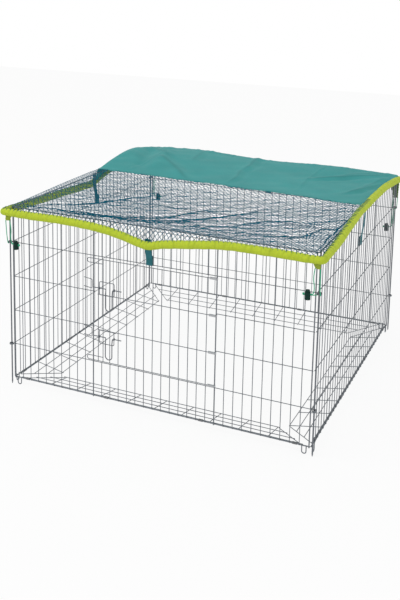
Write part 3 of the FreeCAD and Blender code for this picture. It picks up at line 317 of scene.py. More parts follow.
class Finish(Nodes):
    """A material under construction: its shader and the patterns that feed it."""

    def __init__(self, name):
        self.material = bpy.data.materials.new(name)
        self.material.use_nodes = True
        super().__init__(self.material.node_tree)
        self.shader = self.tree.nodes["Principled BSDF"]
        self.place = self.node("ShaderNodeTexCoord").outputs
        self.cloths = bpy.context.scene.run_cloths
        self.metals = bpy.context.scene.run_metals

    def noise(self, scale, detail=2.0):
        """Cloudy noise from 0 to 1; scale is in patches to the metre, and three scales draw the
        patches out along the axes."""
        where = self.place["Object"]
        if isinstance(scale, tuple):
            where = self.node("ShaderNodeMapping", None, {"Vector": where, "Scale": scale}).outputs[0]
            scale = 1.0
        node = self.node("ShaderNodeTexNoise", None, {"Vector": where, "Scale": scale, "Detail": detail})
        return Value(self, node.outputs[0])

    def weave(self, first, second):
        """Sine waves of those lengths along the two directions of the UV map."""
        u, v = self.node("ShaderNodeSeparateXYZ", None, {0: self.place["UV"]}).outputs[:2]
        return Value(self, u).wave(first), Value(self, v).wave(second)

    def attribute(self, name):
        node = self.node("ShaderNodeAttribute", {"attribute_name": name})
        return Value(self, node.outputs["Fac"])

    def mixed(self, factor, first, second):
        """Colour between two colours."""
        node = self.node("ShaderNodeMix", {"data_type": "RGBA"}, {0: factor, 6: first, 7: second})
        return node.outputs[2]

    def tinted(self, factor, tone, low, high):
        """Colour between a darker and a lighter form of one tone."""
        return self.mixed(factor, toned(tone, low), toned(tone, high))

    def bump(self, height, strength, distance):
        """Feeds the shader's normal from a height; distance is in metres."""
        node = self.node("ShaderNodeBump", None,
                         {"Height": height, "Strength": strength, "Distance": distance})
        self.feed(self.shader.inputs["Normal"], node.outputs["Normal"])

    def set(self, **values):
        """Sets or links the shader's own sockets; an underscore stands for a space."""
        for key, value in values.items():
            self.feed(self.shader.inputs[key.replace("_", " ")], value)


def toned(tone, times):
    """A plain colour made darker or lighter, with alpha."""
    return tuple(min(1.0, part * times) for part in tone[:3]) + (1.0,)


def zinc_metal(f, tone, rough):
    """Galvanised steel: dull and bright patches, fine grain and a faintly pitted skin."""
    patch = f.noise(38.0, 3.0)
    grain = f.noise(900.0)
    drawn = f.noise((420.0, 420.0, 60.0))
    mottle = patch * 0.55 + drawn * 0.3 + grain * 0.15
    f.set(Base_Color=f.tinted(mottle, getattr(f.metals, tone), 0.68, 1.42), Metallic=1.0,
          Roughness=0.22 + rough * patch + 0.12 * grain)
    f.bump(grain * 0.6 + drawn * 0.4, 0.25, 0.0003)


def lock_plastic(f):
    """Moulded polypropylene with a faint eroded texture."""
    fine = f.noise(1600.0)
    f.set(Base_Color=f.tinted(f.noise(120.0), f.metals.plastic, 0.8, 1.5),
          Roughness=0.42 + 0.18 * fine, Specular_IOR_Level=0.14)
    f.bump(fine, 0.2, 0.0002)


def rim_cloth(f):
    """Gathered padding cloth: plain weave, mottled lime, and painted shade down in the puckers and the sewn
    groove.
    """
    warp, weft = f.weave(RIM_WEAVE, RIM_WEAVE)
    cloud = f.noise(60.0, 3.0)
    base = f.tinted(cloud * 0.4 + f.noise(240.0, 3.0) * 0.6, f.cloths.lime, 0.66, 1.3)
    # Painted shade: the valley mask darkens the lime down in the puckers and the sewn groove.
    f.set(Base_Color=f.mixed(f.attribute("valley") * 0.8, base, toned(f.cloths.lime_pucker_shade, 1.0)),
          Roughness=0.66 + 0.12 * cloud, Sheen_Weight=0.05, Specular_IOR_Level=0.2)
    f.bump(warp * weft * 0.25 + f.noise(260.0, 3.0), 0.35, 0.0006)


def shade_cloth(f):
    """Coated nylon taffeta: fine weave, slubs, soft ripples, and painted shade along the creases."""
    warp, weft = f.weave(SHADE_WEAVE, SHADE_WEAVE)
    slub = f.noise((30.0, 700.0, 30.0))
    base = f.tinted(f.noise(9.0, 3.0), f.cloths.shade, 0.86, 1.12)
    # Painted shade: the crease mask darkens the teal along the creases.
    f.set(Base_Color=f.mixed(f.attribute("crease") * 0.55, base, toned(f.cloths.shade, 0.68)),
          Roughness=0.58 + 0.15 * slub, Sheen_Weight=0.02, Specular_IOR_Level=0.16)
    f.bump(warp * weft * 0.03 + slub * 0.08 + f.noise(22.0, 4.0), 0.3, 0.004)


def net_twine(f):
    """Twisted polyethylene twine with patchy tone and a painted highlight on its strand tops."""
    strand = f.noise(700.0, 3.0)
    # Painted highlight: the strand pattern of the bump also lightens the colour on the strand tops.
    f.set(Base_Color=f.tinted(strand * 0.6 + f.noise(14.0) * 0.4, f.cloths.net, 0.55, 1.7),
          Roughness=0.7 + 0.2 * strand, Specular_IOR_Level=0.06)
    f.bump(strand, 0.6, 0.0006)


def webbing(f):
    """Woven tape: cross ribs between two tight selvedges, with patchy tone and a painted highlight on the
    ribs' tops.
    """
    rib, warp = f.weave(TAPE_RIB, TAPE_WARP)
    height = rib * (0.6 + 0.4 * warp)
    cloud = f.noise(90.0, 3.0)
    # Painted highlight: the rib height of the bump also lightens the colour on the ribs' tops.
    f.set(Base_Color=f.tinted(height * 0.25 + cloud * 0.6, f.cloths.webbing, 0.72, 1.3),
          Roughness=0.6 + 0.15 * cloud, Sheen_Weight=0.1, Specular_IOR_Level=0.3)
    f.bump(height, 0.5, 0.0004)


def tab_cloth(f):
    """Coarse knitted mesh cloth: painted shade darkens its small holes and a painted highlight lightens the
    yarn between them; the front tabs take the rim's colour.
    """
    across, along = f.weave(TAB_KNIT, TAB_KNIT)
    knit = abs(across * along)
    cloud = f.noise(70.0)
    # Painted light and shade: the knit pattern of the bump paints the yarn lighter and its holes darker.
    base = f.tinted(knit * 0.7 + cloud * 0.3, f.cloths.tab, 1.5, 0.6)
    f.set(Base_Color=f.mixed(f.attribute("lime"), base, toned(f.cloths.lime, 0.75)),
          Roughness=0.66 + 0.12 * cloud, Specular_IOR_Level=0.3)
    f.bump(1.0 - knit, 0.5, 0.0008)


def elastic_sheath(f):
    """Braided elastic cord: crossing strands, with a painted highlight on their tops."""
    braid = f.noise((1500.0, 1500.0, 900.0), 1.0)
    # Painted highlight: the braid pattern of the bump also lightens the colour on the strand tops.
    f.set(Base_Color=f.tinted(braid, f.cloths.elastic, 0.6, 1.45), Roughness=0.55 + 0.2 * braid,
          Specular_IOR_Level=0.3)
    f.bump(braid, 0.6, 0.0005)


def sewing_thread(f):
    """Twisted thread: one fine pattern in its colour and its gloss."""
    twist = f.noise(1800.0, 1.0)
    f.set(Base_Color=f.tinted(twist, f.cloths.thread, 0.7, 1.3), Roughness=0.5 + 0.2 * twist)


def floor_sheet(f):
    """Pale matt sheet that is nearly white where it is seen and keeps a pale shadow."""
    tone = bpy.context.scene.run_stage.floor
    f.set(Base_Color=f.tinted(f.noise(3.0), tone, 0.99, 1.01), Roughness=0.9, Specular_IOR_Level=0.0)
    f.whitened(f.shader.outputs[0], "ShaderNodeEmission", 0.9, "Material Output")


# Each finish: the function that makes it and what it is given besides.
MAKERS = {
    "zinc_wire": (zinc_metal, "zinc", 0.26),
    "zinc_rod": (zinc_metal, "rod", 0.22),
    "zinc_plate": (zinc_metal, "plate", 0.3),
    "zinc_sheet": (zinc_metal, "sheet", 0.3),
    "spring_steel": (zinc_metal, "spring", 0.12),
    "lock_plastic": (lock_plastic,),
    "rim_cloth": (rim_cloth,),
    "shade_cloth": (shade_cloth,),
    "net_twine": (net_twine,),
    "webbing": (webbing,),
    "tab_cloth": (tab_cloth,),
    "elastic_cord": (elastic_sheath,),
    "sewing_thread": (sewing_thread,),
    "floor": (floor_sheet,),
}
finishes = {}


def finish(name):
    """The material of that name, made when it is first asked for."""
    if name not in finishes:
        maker, *details = MAKERS[name]
        made = Finish(name)
        maker(made, *details)
        finishes[name] = made.material
    return finishes[name]


# ------------------------------------------------------------------ mesh building
def mesh_piece(name, points, faces, material, uv=None, attributes=None, smooth=True):
    """Object from points (n, 3) and a list of face arrays, each (m, corners); uv holds one
    array of (m, corners, 2) for each of them. Points that no face uses are left out."""
    flat = np.concatenate([part.ravel() for part in faces])
    used, index = np.unique(flat, return_inverse=True)
    counts = np.concatenate([np.full(len(part), part.shape[1]) for part in faces])
    mesh = bpy.data.meshes.new(name)
    mesh.vertices.add(len(used))
    mesh.vertices.foreach_set("co", points.reshape(-1, 3)[used].astype(np.float32).ravel())
    mesh.loops.add(len(flat))
    mesh.loops.foreach_set("vertex_index", index.ravel().astype(np.int32))
    mesh.polygons.add(len(counts))
    mesh.polygons.foreach_set("loop_start", (np.cumsum(counts) - counts).astype(np.int32))
    mesh.polygons.foreach_set("use_smooth", np.full(len(counts), smooth))
    if uv is not None:
        layer = mesh.uv_layers.new(name="UVMap")
        layer.data.foreach_set("uv", np.concatenate([part.ravel() for part in uv]).astype(np.float32))
    for key, values in (attributes or {}).items():
        layer = mesh.attributes.new(key, "FLOAT", "POINT")
        layer.data.foreach_set("value", values.ravel()[used].astype(np.float32))
    mesh.update(calc_edges=True)
    mesh.validate()
    mesh.materials.append(finish(material))
    piece = bpy.data.objects.new(name, mesh)
    bpy.context.scene.collection.objects.link(piece)
    return piece


def grid_faces(rows, columns, close_rows=False, close_columns=False):
    """Quads between neighbouring lines of a grid, and each corner's row and column; a closed
    direction joins its last line to its first. They face (along columns) x (along rows)."""
    i = np.arange(rows if close_rows else rows - 1)
    j = np.arange(columns if close_columns else columns - 1)
    i, j = np.meshgrid(i, j, indexing="ij")
    at = np.stack([np.stack([i, i, i + 1, i + 1], -1), np.stack([j, j + 1, j + 1, j], -1)], -1)
    at = at.reshape(-1, 4, 2)
    return (at[..., 0] % rows) * columns + at[..., 1] % columns, at


def unit(vectors):
    """Vectors scaled to length one."""
    return vectors / np.maximum(np.linalg.norm(vectors, axis=-1, keepdims=True), 1e-12)


def rings_round(paths, normals, radius, sides):
    """Rings round many lines at once, (..., places, sides, 3): each ring stands square to its
    line and starts towards the normal: centre + radius (cos a n + sin a t x n)."""
    tangent = unit(np.gradient(paths, axis=-2))
    n = unit(normals - (normals * tangent).sum(-1, keepdims=True) * tangent)
    b = np.cross(tangent, n)
    a = np.arange(sides) * TAU / sides
    ring = np.cos(a)[:, None] * n[..., None, :] + np.sin(a)[:, None] * b[..., None, :]
    return paths[..., None, :] + np.asarray(radius)[..., None, None] * ring


def copied(faces, count, points):
    """The faces of one part repeated for each of its copies, which have that many points."""
    return (faces + np.arange(count)[:, None, None] * points).reshape(-1, faces.shape[1])


def tubes(paths, normals, radius, sides, kept=None):
    """Skins of round threads along paths (lines, places, 3): points and quads. Where kept is
    given, a run is made only between two kept places."""
    lines, places = paths.shape[:2]
    quads, at = grid_faces(places, sides, close_columns=True)
    faces = copied(quads, lines, places * sides)
    if kept is not None:
        row = at[:, 0, 0]
        faces = faces[(kept[:, row] & kept[:, row + 1]).ravel()]
    return rings_round(paths, normals, radius, sides).reshape(-1, 3), faces


def thread_piece(name, paths, normals, radius, sides, material, capped=True):
    """Round threads along paths (lines, places, 3), as one object."""
    lines, places = paths.shape[:2]
    points, quads = tubes(paths, normals, radius, sides)
    faces = [quads]
    if capped:
        ring = np.arange(sides) + np.arange(lines)[:, None] * places * sides
        faces += [ring[:, ::-1], ring + (places - 1) * sides]
    return mesh_piece(name, points, faces, material)


def cloth_piece(name, points, u, v, material, thickness, offset=0.0, turned=False, attributes=None):
    """Sheet through a grid of points with u and v as its UV map, given its thickness by Solidify;
    turned faces it the other way."""
    faces, at = grid_faces(*u.shape)
    if turned:
        faces, at = faces[:, ::-1], at[:, ::-1]
    uv = np.stack([part[at[..., 0], at[..., 1]] for part in (u, v)], -1)
    piece = mesh_piece(name, points, [faces], material, uv=[uv], attributes=attributes)
    solid = piece.modifiers.new("thickness", "SOLIDIFY")
    solid.thickness = thickness
    solid.offset = offset
    return piece


def bead_piece(name, centres, belt, pole, material):
    """Low beads at the centres: a belt of arms round each, and a point at either end of its pole."""
    count = len(belt)
    k = np.arange(count)
    after = (k + 1) % count
    faces = np.concatenate([np.stack([k, after, np.full(count, count)], -1),
                            np.stack([after, k, np.full(count, count + 1)], -1)])
    points = np.stack([centres + arm for arm in belt + [pole, -pole]], 1)
    return mesh_piece(name, points, [copied(faces, len(centres), count + 2)], material)


def standing(piece, slot, *nodes):
    """Puts a piece on the standing frame, in place of the nodes it stands for, which are hidden. Its slot is
    not used.
    """
    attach(piece, "run_frame")
    if nodes:
        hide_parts(*nodes)
    return piece


def closed(line):
    """A line with its first point again at its end."""
    return np.concatenate([line, line[:1]])


def arc_length(line):
    """Length along a line at each of its points."""
    return np.concatenate([[0], np.cumsum(np.linalg.norm(np.diff(line, axis=0), axis=1))])


def picked(values, index):
    """From each row of values, the one that the index names."""
    return np.take_along_axis(values, index[..., None], -1)[..., 0]


def through(x, stops, values):
    """Smooth curve through its stops: cubic Hermite runs whose slope at a stop is the mean of
    the two runs beside it. values may differ from point to point, as (..., stops)."""
    x = np.asarray(x, float)
    stops = np.asarray(stops, float)
    values = np.broadcast_to(np.asarray(values, float), x.shape + (len(stops),))
    step = np.diff(stops)
    rise = np.diff(values, axis=-1) / step
    slope = np.concatenate([rise[..., :1], (rise[..., 1:] + rise[..., :-1]) / 2, rise[..., -1:]], -1)
    at = np.clip(np.searchsorted(stops, x) - 1, 0, len(stops) - 2)
    t = np.clip((x - stops[at]) / step[at], 0, 1)
    a, b = picked(values, at), picked(values, at + 1)
    rise_a, rise_b = picked(slope, at) * step[at], picked(slope, at + 1) * step[at]
    return (a * (1 + 2 * t) * (1 - t) ** 2 + b * t ** 2 * (3 - 2 * t)
            + rise_a * t * (1 - t) ** 2 - rise_b * t ** 2 * (1 - t))


def eased(x):
    """0 below 0, 1 above 1 and a smooth step between: 3x^2 - 2x^3."""
    x = np.clip(x, 0, 1)
    return x * x * (3 - 2 * x)


def bell(x, middle, width):
    """Bell curve of height one: exp(-((x - middle) / width)^2)."""
    return np.exp(-((x - middle) / width) ** 2)


def tent(x, middle, reach):
    """1 at the middle, and straight down to 0 at that reach on both sides."""
    return np.clip(1 - np.abs(x - middle) / reach, 0, 1)


def ripple(x, y, size, seed):
    """Smooth unevenness from about -1 to 1: four crossed sine waves of about that wavelength."""
    total = 0
    for k in range(4):
        turn = seed * 2.399 + k * 1.7
        scale = TAU / (size * (0.8 + 0.23 * k))
        total = total + np.sin((x * math.cos(turn) + y * math.sin(turn)) * scale + seed * 3.1 + k * 1.3)
    return total / 2.6


def uneven(x, y, *rows):
    """Sum of ripples, each with its height, its wavelength and its seed."""
    return sum(height * ripple(x, y, size, seed) for height, size, seed in rows)


def waves(w, a, rows):
    """Sum of sines round the rim: height sin(turns w + twist a + start)."""
    return sum(height * np.sin(turns * w + twist * a + start) for height, turns, twist, start in rows)


# ------------------------------------------------------------------ the cover's shape
def seam_y(x):
    """Front edge of the shade at a place across the run."""
    return through(x, *zip(*SEAM))


def rim_line(side, along):
    """Rim's middle at places along a side: distance outside the rod line, and height."""
    place, out, drop = zip(*RIM_LINES[side])
    return through(along, place, out), RAIL_TOP - through(along, place, drop)


def cover_height(x, y):
    """Height of the spread cover at places inside the rails: a smooth surface through the table."""
    rows = np.stack([through(y, HEIGHT_Y, column) for column in zip(*HEIGHTS)], -1)
    return SHEET_Z + through(x, HEIGHT_X, rows)


def skirt_points(z_top, rim_out, rim_z, over):
    """Four control points (out, z) of the cloth from the rail into the rim. It falls steeply beside
    the wires where the rim hangs low, and runs nearly level to a rim as high as the rail; where
    over is 1 it ends on the rim's top instead."""
    def point(out, z):
        return np.stack(np.broadcast_arrays(out, z), -1)

    hang = eased((z_top - rim_z - 0.004) / 0.012)[..., None]
    start = point(EDGE - ROD_LINE, z_top)
    down = (point(0.0048, z_top),
            point(0.005, np.minimum(rim_z + 0.02, z_top - 0.002)),
            point(rim_out - 0.0065, rim_z + 0.003))
    level = (point(-0.004, z_top),
             point(rim_out - 0.008 - 0.006 * over, z_top + 0.003 + (rim_z + 0.01 - z_top) * over),
             point(rim_out - 0.004 + 0.0075 * over, rim_z - 0.006 + 0.02 * over))
    return [start] + [a * hang + b * (1 - hang) for a, b in zip(down, level)]


def bezier(points, t):
    """Cubic Bezier curve: each control point weighted by its Bernstein term."""
    a, b, c, d = points
    t = t[..., None]
    return a * (1 - t) ** 3 + 3 * b * t * (1 - t) ** 2 + 3 * c * t ** 2 * (1 - t) + d * t ** 3


def skirt(side, along, z_top, past):
    """Cloth past a rail: its place (out, z) after that length of cloth, and the skirt's length.
    On the right side the shade's part ends on top of the rim."""
    over = eased((along - 0.055) / 0.03) * (side == "right")
    points = skirt_points(z_top, *rim_line(side, along), over)
    steps = [bezier(points, np.full(z_top.shape, k / 8)) for k in range(9)]
    reach = sum(np.linalg.norm(b - a, axis=-1) for a, b in zip(steps, steps[1:]))
    spot = bezier(points, np.clip(past / reach, 0, 1))
    return spot[..., 0], spot[..., 1], reach


def draped(x, y):
    """Cloth point (x, y) of the flat cover in its place: the surface of cover_height inside the
    rails, and beyond them the skirts. Also says how much cloth is left before the rim."""
    x_in, y_in = np.clip(x, -EDGE, EDGE), np.clip(y, -EDGE, EDGE)
    top = cover_height(x_in, y_in)
    place = np.stack([x_in, y_in, top], -1)
    left = np.full(x.shape, 1.0)
    for side, past, along in (("front", -y - EDGE, x_in), ("back", y - EDGE, -x_in),
                              ("right", x - EDGE, y_in), ("left", -x - EDGE, -y_in)):
        beyond = past > 0
        out, z, reach = skirt(side, along, top, np.maximum(past, 0))
        shift = SIDE_AXES[side][1] * (out - (EDGE - ROD_LINE))[..., None]
        shift[..., 2] = z - top
        place = place + np.where(beyond[..., None], shift, 0)
        left = np.where(beyond, np.minimum(left, reach - past), left)
    return place, left


def nearest_on(path, x, y):
    """Nearest place on a fold, of 32 short runs of its curve: signed distance, share along it, and
    the normal's two parts."""
    stops = np.linspace(0, 1, len(path))
    line = np.stack([through(np.linspace(0, 1, 33), stops, axis) for axis in zip(*path)], -1)
    run = np.diff(line, axis=0)
    run_x, run_y = run.T
    long = np.hypot(run_x, run_y)
    dx, dy = x[..., None] - line[:-1, 0], y[..., None] - line[:-1, 1]
    at = np.clip((dx * run_x + dy * run_y) / long ** 2, 0, 1)
    ex, ey = dx - at * run_x, dy - at * run_y
    gap = np.hypot(ex, ey)
    k = gap.argmin(-1)
    side = np.where(run_x * ey - run_y * ex < 0, -1.0, 1.0)
    return picked(gap * side, k), (k + picked(at, k)) / len(run), -run_y[k] / long[k], run_x[k] / long[k]


def stretched(x, y, stretch):
    """How far the net is drawn away from its left edge: a bell across by a tent along."""
    far, middle, width, reach = stretch
    return far * bell(x, middle, width) * tent(y, STRETCHED_Y, reach)


def bunched(x, y):
    """Net drawn into its folds: each side moves towards the fold by a tight and a broad step, both
    tanh(s / width), fading with distance and at the fold's ends. Also the drop of the fold's bottom."""
    sizes = bpy.context.scene.run_cover
    x = x + stretched(x, y, STRETCHES[0])
    x_new, y_new, drop = x.copy(), y.copy(), np.zeros(x.shape)
    for path, strength in zip(FOLDS, FOLD_GATHER):
        s, share, nx, ny = nearest_on(path, x, y)
        window = np.sin(np.clip(share, 0, 1) * math.pi) ** 0.6
        tight = 0.55 * sizes.fold_width * np.tanh(s / (0.3 * sizes.fold_width))
        broad = sizes.gather * np.tanh(s / (1.6 * sizes.fold_width))
        pull = strength * (tight * bell(s, 0, TIGHT) + broad * bell(s, 0, BROAD)) * window
        x_new -= nx * pull
        y_new -= ny * pull
        drop += sizes.fold_drop * strength * bell(s, 0, BOTTOM) * window
    x_new += stretched(x, y, STRETCHES[1])
    slack = np.clip(1 - ((x + 0.02) / 0.6) ** 2, 0, 1)
    y_new -= slack * FORWARD * np.sin(np.clip((y + EDGE) / (EDGE + 0.07), 0, 1) * math.pi)
    x_new += uneven(x, y, (0.0018, 0.1, 1), (0.0008, 0.041, 11))
    y_new += uneven(x, y, (0.002, 0.09, 2), (0.001, 0.037, 13))
    drop += uneven(1.5 * x, y, (0.0013, 0.06, 15)) + uneven(2.1 * x, y, (0.0013, 0.04, 21))
    return x_new, y_new, drop


def creases(x, y):
    """Relief of the shade: ridges along straight lines, each height exp(-(s / width)^2) with a
    shallow valley beside it, fading at its ends, puckers along the back edge and ripples at the
    left one. Also a mask of painted shade along the ridges, where the cloth is coloured darker."""
    relief, crease_shade = np.zeros(x.shape), np.zeros(x.shape)
    for k, ((x0, y0), (x1, y1), height, width) in enumerate(CREASES):
        run = np.array([x1 - x0, y1 - y0])
        long = float(np.hypot(*run))
        share = ((x - x0) * run[0] + (y - y0) * run[1]) / long ** 2
        s = ((x - x0) * -run[1] + (y - y0) * run[0]) / long
        s = s + 0.006 * np.sin(share * 7 + k)
        fade = eased(share * 6) * eased((1 - share) * 3)
        relief += height * (bell(s, 0, width) - 0.6 * bell(s, 2.1 * width, width)) * fade
        # Painted shade along each ridge, darkening the cloth's colour there.
        crease_shade += bell(s, 0, 0.45 * width) * fade * min(1.0, height / 0.004)
    back = eased((y - (EDGE - 0.055)) / 0.05)
    left = eased((-x - (EDGE - 0.07)) / 0.06)
    relief += 0.003 * back * (np.abs(ripple(x, 0 * x, 0.11, 3)) + 0.5 * ripple(x, 0 * x, 0.026, 5))
    relief += 0.002 * left * ripple(y, 0 * y, 0.06, 6)
    relief += uneven(x, y, (0.0016, 0.19, 7), (0.0008, 0.08, 8))
    return relief, np.clip(crease_shade, 0, 1)


# ------------------------------------------------------------------ the rim's shape
class RimPath:
    """Middle line of the rim all the way round, evenly spaced, with its frame."""

    def __init__(self):
        """Sides are laid end to end, evened out, and smoothed with a bell curve."""
        places = []
        for side in SIDES:
            t = np.linspace(RIM_LINES[side][0][0], RIM_LINES[side][-1][0], 800, endpoint=False)
            places.append(on_side(side, t, *rim_line(side, t)))
        line = evened(np.concatenate(places))
        reach = int(4 * RIM_EASING / RIM_STEP)
        weights = np.exp(-0.5 * (np.arange(-reach, reach + 1) * RIM_STEP / RIM_EASING) ** 2)
        weights /= weights.sum()
        wrapped = np.concatenate([line[-reach:], line, line[:reach]])
        self.line = evened(np.stack([np.convolve(part, weights, "valid") for part in wrapped.T], -1))
        self.arc = arc_length(closed(self.line))
        tangent = unit(np.roll(self.line, -1, 0) - np.roll(self.line, 1, 0))
        self.inward = unit(np.cross(UP, tangent))
        self.up = np.cross(tangent, self.inward)

    def radius(self, u, a):
        """Radius at arc length u and angle a, and a mask for painted shade in the puckers and the sewn
        groove:
        narrow slanting valleys, deepest on one side and uneven round the rim, on a slightly lumpy tube with
        a sewn groove."""
        sizes = bpy.context.scene.run_cover
        total = self.arc[-1]
        count = round(total / sizes.pucker_pitch)
        w = u * TAU / total
        phase = w * count + 0.9 * a + waves(w, a, PUCKER_SHIFTS) + 0.8 * np.sin(a + 29 * w)
        patchy = 0.5 + 0.5 * np.sin(131 * w + 0.7) * np.sin(57 * w)
        valley = (0.5 + 0.5 * np.cos(phase)) ** 4 * patchy * (0.62 + 0.38 * np.cos(a - PUCKER_ANGLE))
        fine = 0.16 * np.sin(3 * phase + 1.2 * np.sin(a * 2)) * (1 - valley)
        groove = 0.0012 * bell(np.mod(a - GROOVE_ANGLE + math.pi, TAU) - math.pi, 0, 0.16)
        swell = 0.0006 - 0.0016 * self.cornered(u) + waves(w, a, LUMPS)
        radius = sizes.rim / 2 + swell - groove - sizes.pucker_depth * (valley + fine * 0.35)
        # The second value masks the painted shade in the puckers and the sewn groove.
        return radius, np.clip(valley + groove * 250, 0, 1)

    def cornered(self, u):
        """1 at a corner of the rim and 0 away from it: exp(-(distance / 0.06)^2)."""
        x, y = np.abs(self.line[:, 0]), np.abs(self.line[:, 1])
        return np.interp(np.mod(u, self.arc[-1]), self.arc, closed(bell(x - y, 0, 0.06)))

    def at(self, u, a):
        """Places on the rim's skin at arc length u and angle a, and the outward normal there."""
        u = np.mod(u, self.arc[-1])
        middle, inward, up = (
            np.stack([np.interp(u, self.arc, part) for part in closed(array).T], -1)
            for array in (self.line, self.inward, self.up))
        normal = np.cos(a)[..., None] * inward + np.sin(a)[..., None] * up
        return middle + normal * self.radius(u, a)[0][..., None], normal


def evened(line):
    """A closed line with its points spaced evenly, about one rim step apart."""
    arc = arc_length(closed(line))
    count = int(round(arc[-1] / RIM_STEP))
    t = np.arange(count) * arc[-1] / count
    return np.stack([np.interp(t, arc, part) for part in closed(line).T], -1)


def at_corner(corner, along, out, z):
    """Point near a corner rod: along the front or back panel, outward from it, and up."""
    hand, face = CORNERS[corner]
    return (hand * (ROD_LINE - along), face * (ROD_LINE + out), z)


def on_side(side, along, out, z):
    """Points of a side in the run's own frame."""
    run, outward = SIDE_AXES[side]
    along, out, z = (part[..., None] for part in np.broadcast_arrays(along, out, z))
    return run * along + outward * (ROD_LINE + out) + UP * z


# ------------------------------------------------------------------ operators
class RUN_OT_camera(bpy.types.Operator):
    """Camera in front of the run, a little to its right"""
    bl_idname = "rabbit_run.camera"
    bl_label = "Camera"

    def execute(self, context):
        data = bpy.data.cameras.new("camera")
        data.sensor_width = 36.0
        data.lens = 54.8
        data.shift_x = 0.0538
        data.shift_y = -0.291
        data.clip_end = 60.0
        camera = bpy.data.objects.new("camera", data)
        camera.location = (1.282, -3.22, 1.549)
        camera.rotation_euler = tuple(math.radians(turn) for turn in (79.92, -0.83, 25.17))
        context.scene.collection.objects.link(camera)
        context.scene.camera = camera
        return {"FINISHED"}


class RUN_OT_elastics(bpy.types.Operator):
    """Two strands of elastic cord at each corner, and the knot in their tails"""
    bl_idname = "rabbit_run.elastics"
    bl_label = "Elastic cords"

    # Height of a knot; scale and thickness of its trefoil.
    KNOT_Z = {"front": 0.5445, "back": 0.455}
    KNOT_SCALE, KNOT_CORD = 0.00105, 0.00145

    def execute(self, context):
        for corner in CORNERS:
            face = corner.split("_")[0]
            knot = standing(self.knot(corner, face), "elastic_cord")
            for kind in ("slack", "tight"):
                long, spots = STRANDS[face, kind]
                points = [at_corner(corner, *spot) for spot in spots[::-1]]
                strand = self.strand("cord_%s_%s" % (corner, kind), points)
                standing(strand, "elastic_cord", "elastic_" + corner)
        return {"FINISHED"}

    def strand(self, name, points):
        """Smooth spline that the points steer, from the tab down to the knot."""
        curve = bpy.data.curves.new(name, "CURVE")
        curve.dimensions = "3D"
        curve.bevel_depth = CORD_DIAMETER / 2
        curve.bevel_resolution = 3
        curve.resolution_u = 10
        curve.use_fill_caps = True
        spline = curve.splines.new("NURBS")
        spline.points.add(len(points) - 1)
        for point, spot in zip(spline.points, points):
            point.co = tuple(spot) + (1.0,)
        spline.order_u = 3
        spline.use_endpoint_u = True
        curve.materials.append(finish("elastic_cord"))
        strand = bpy.data.objects.new(name, curve)
        bpy.context.scene.collection.objects.link(strand)
        return strand

    def knot(self, corner, face):
        """Overhand knot: a tube along a trefoil, (2 + cos 3t) (cos 2t, sin 2t), sin 3t."""
        centre = np.array(at_corner(corner, 0.0475, 0.014, self.KNOT_Z[face]))
        t = np.arange(72) * TAU / 72
        ring = 2 + np.cos(3 * t)
        line = np.stack([np.sin(3 * t) * 1.6, ring * np.cos(2 * t) * 0.92, ring * np.sin(2 * t)], -1)
        line = closed(line * self.KNOT_SCALE)[None] + centre
        return thread_piece("knot_" + corner, line, unit(line - centre), self.KNOT_CORD, 10,
                            "elastic_cord", capped=False)


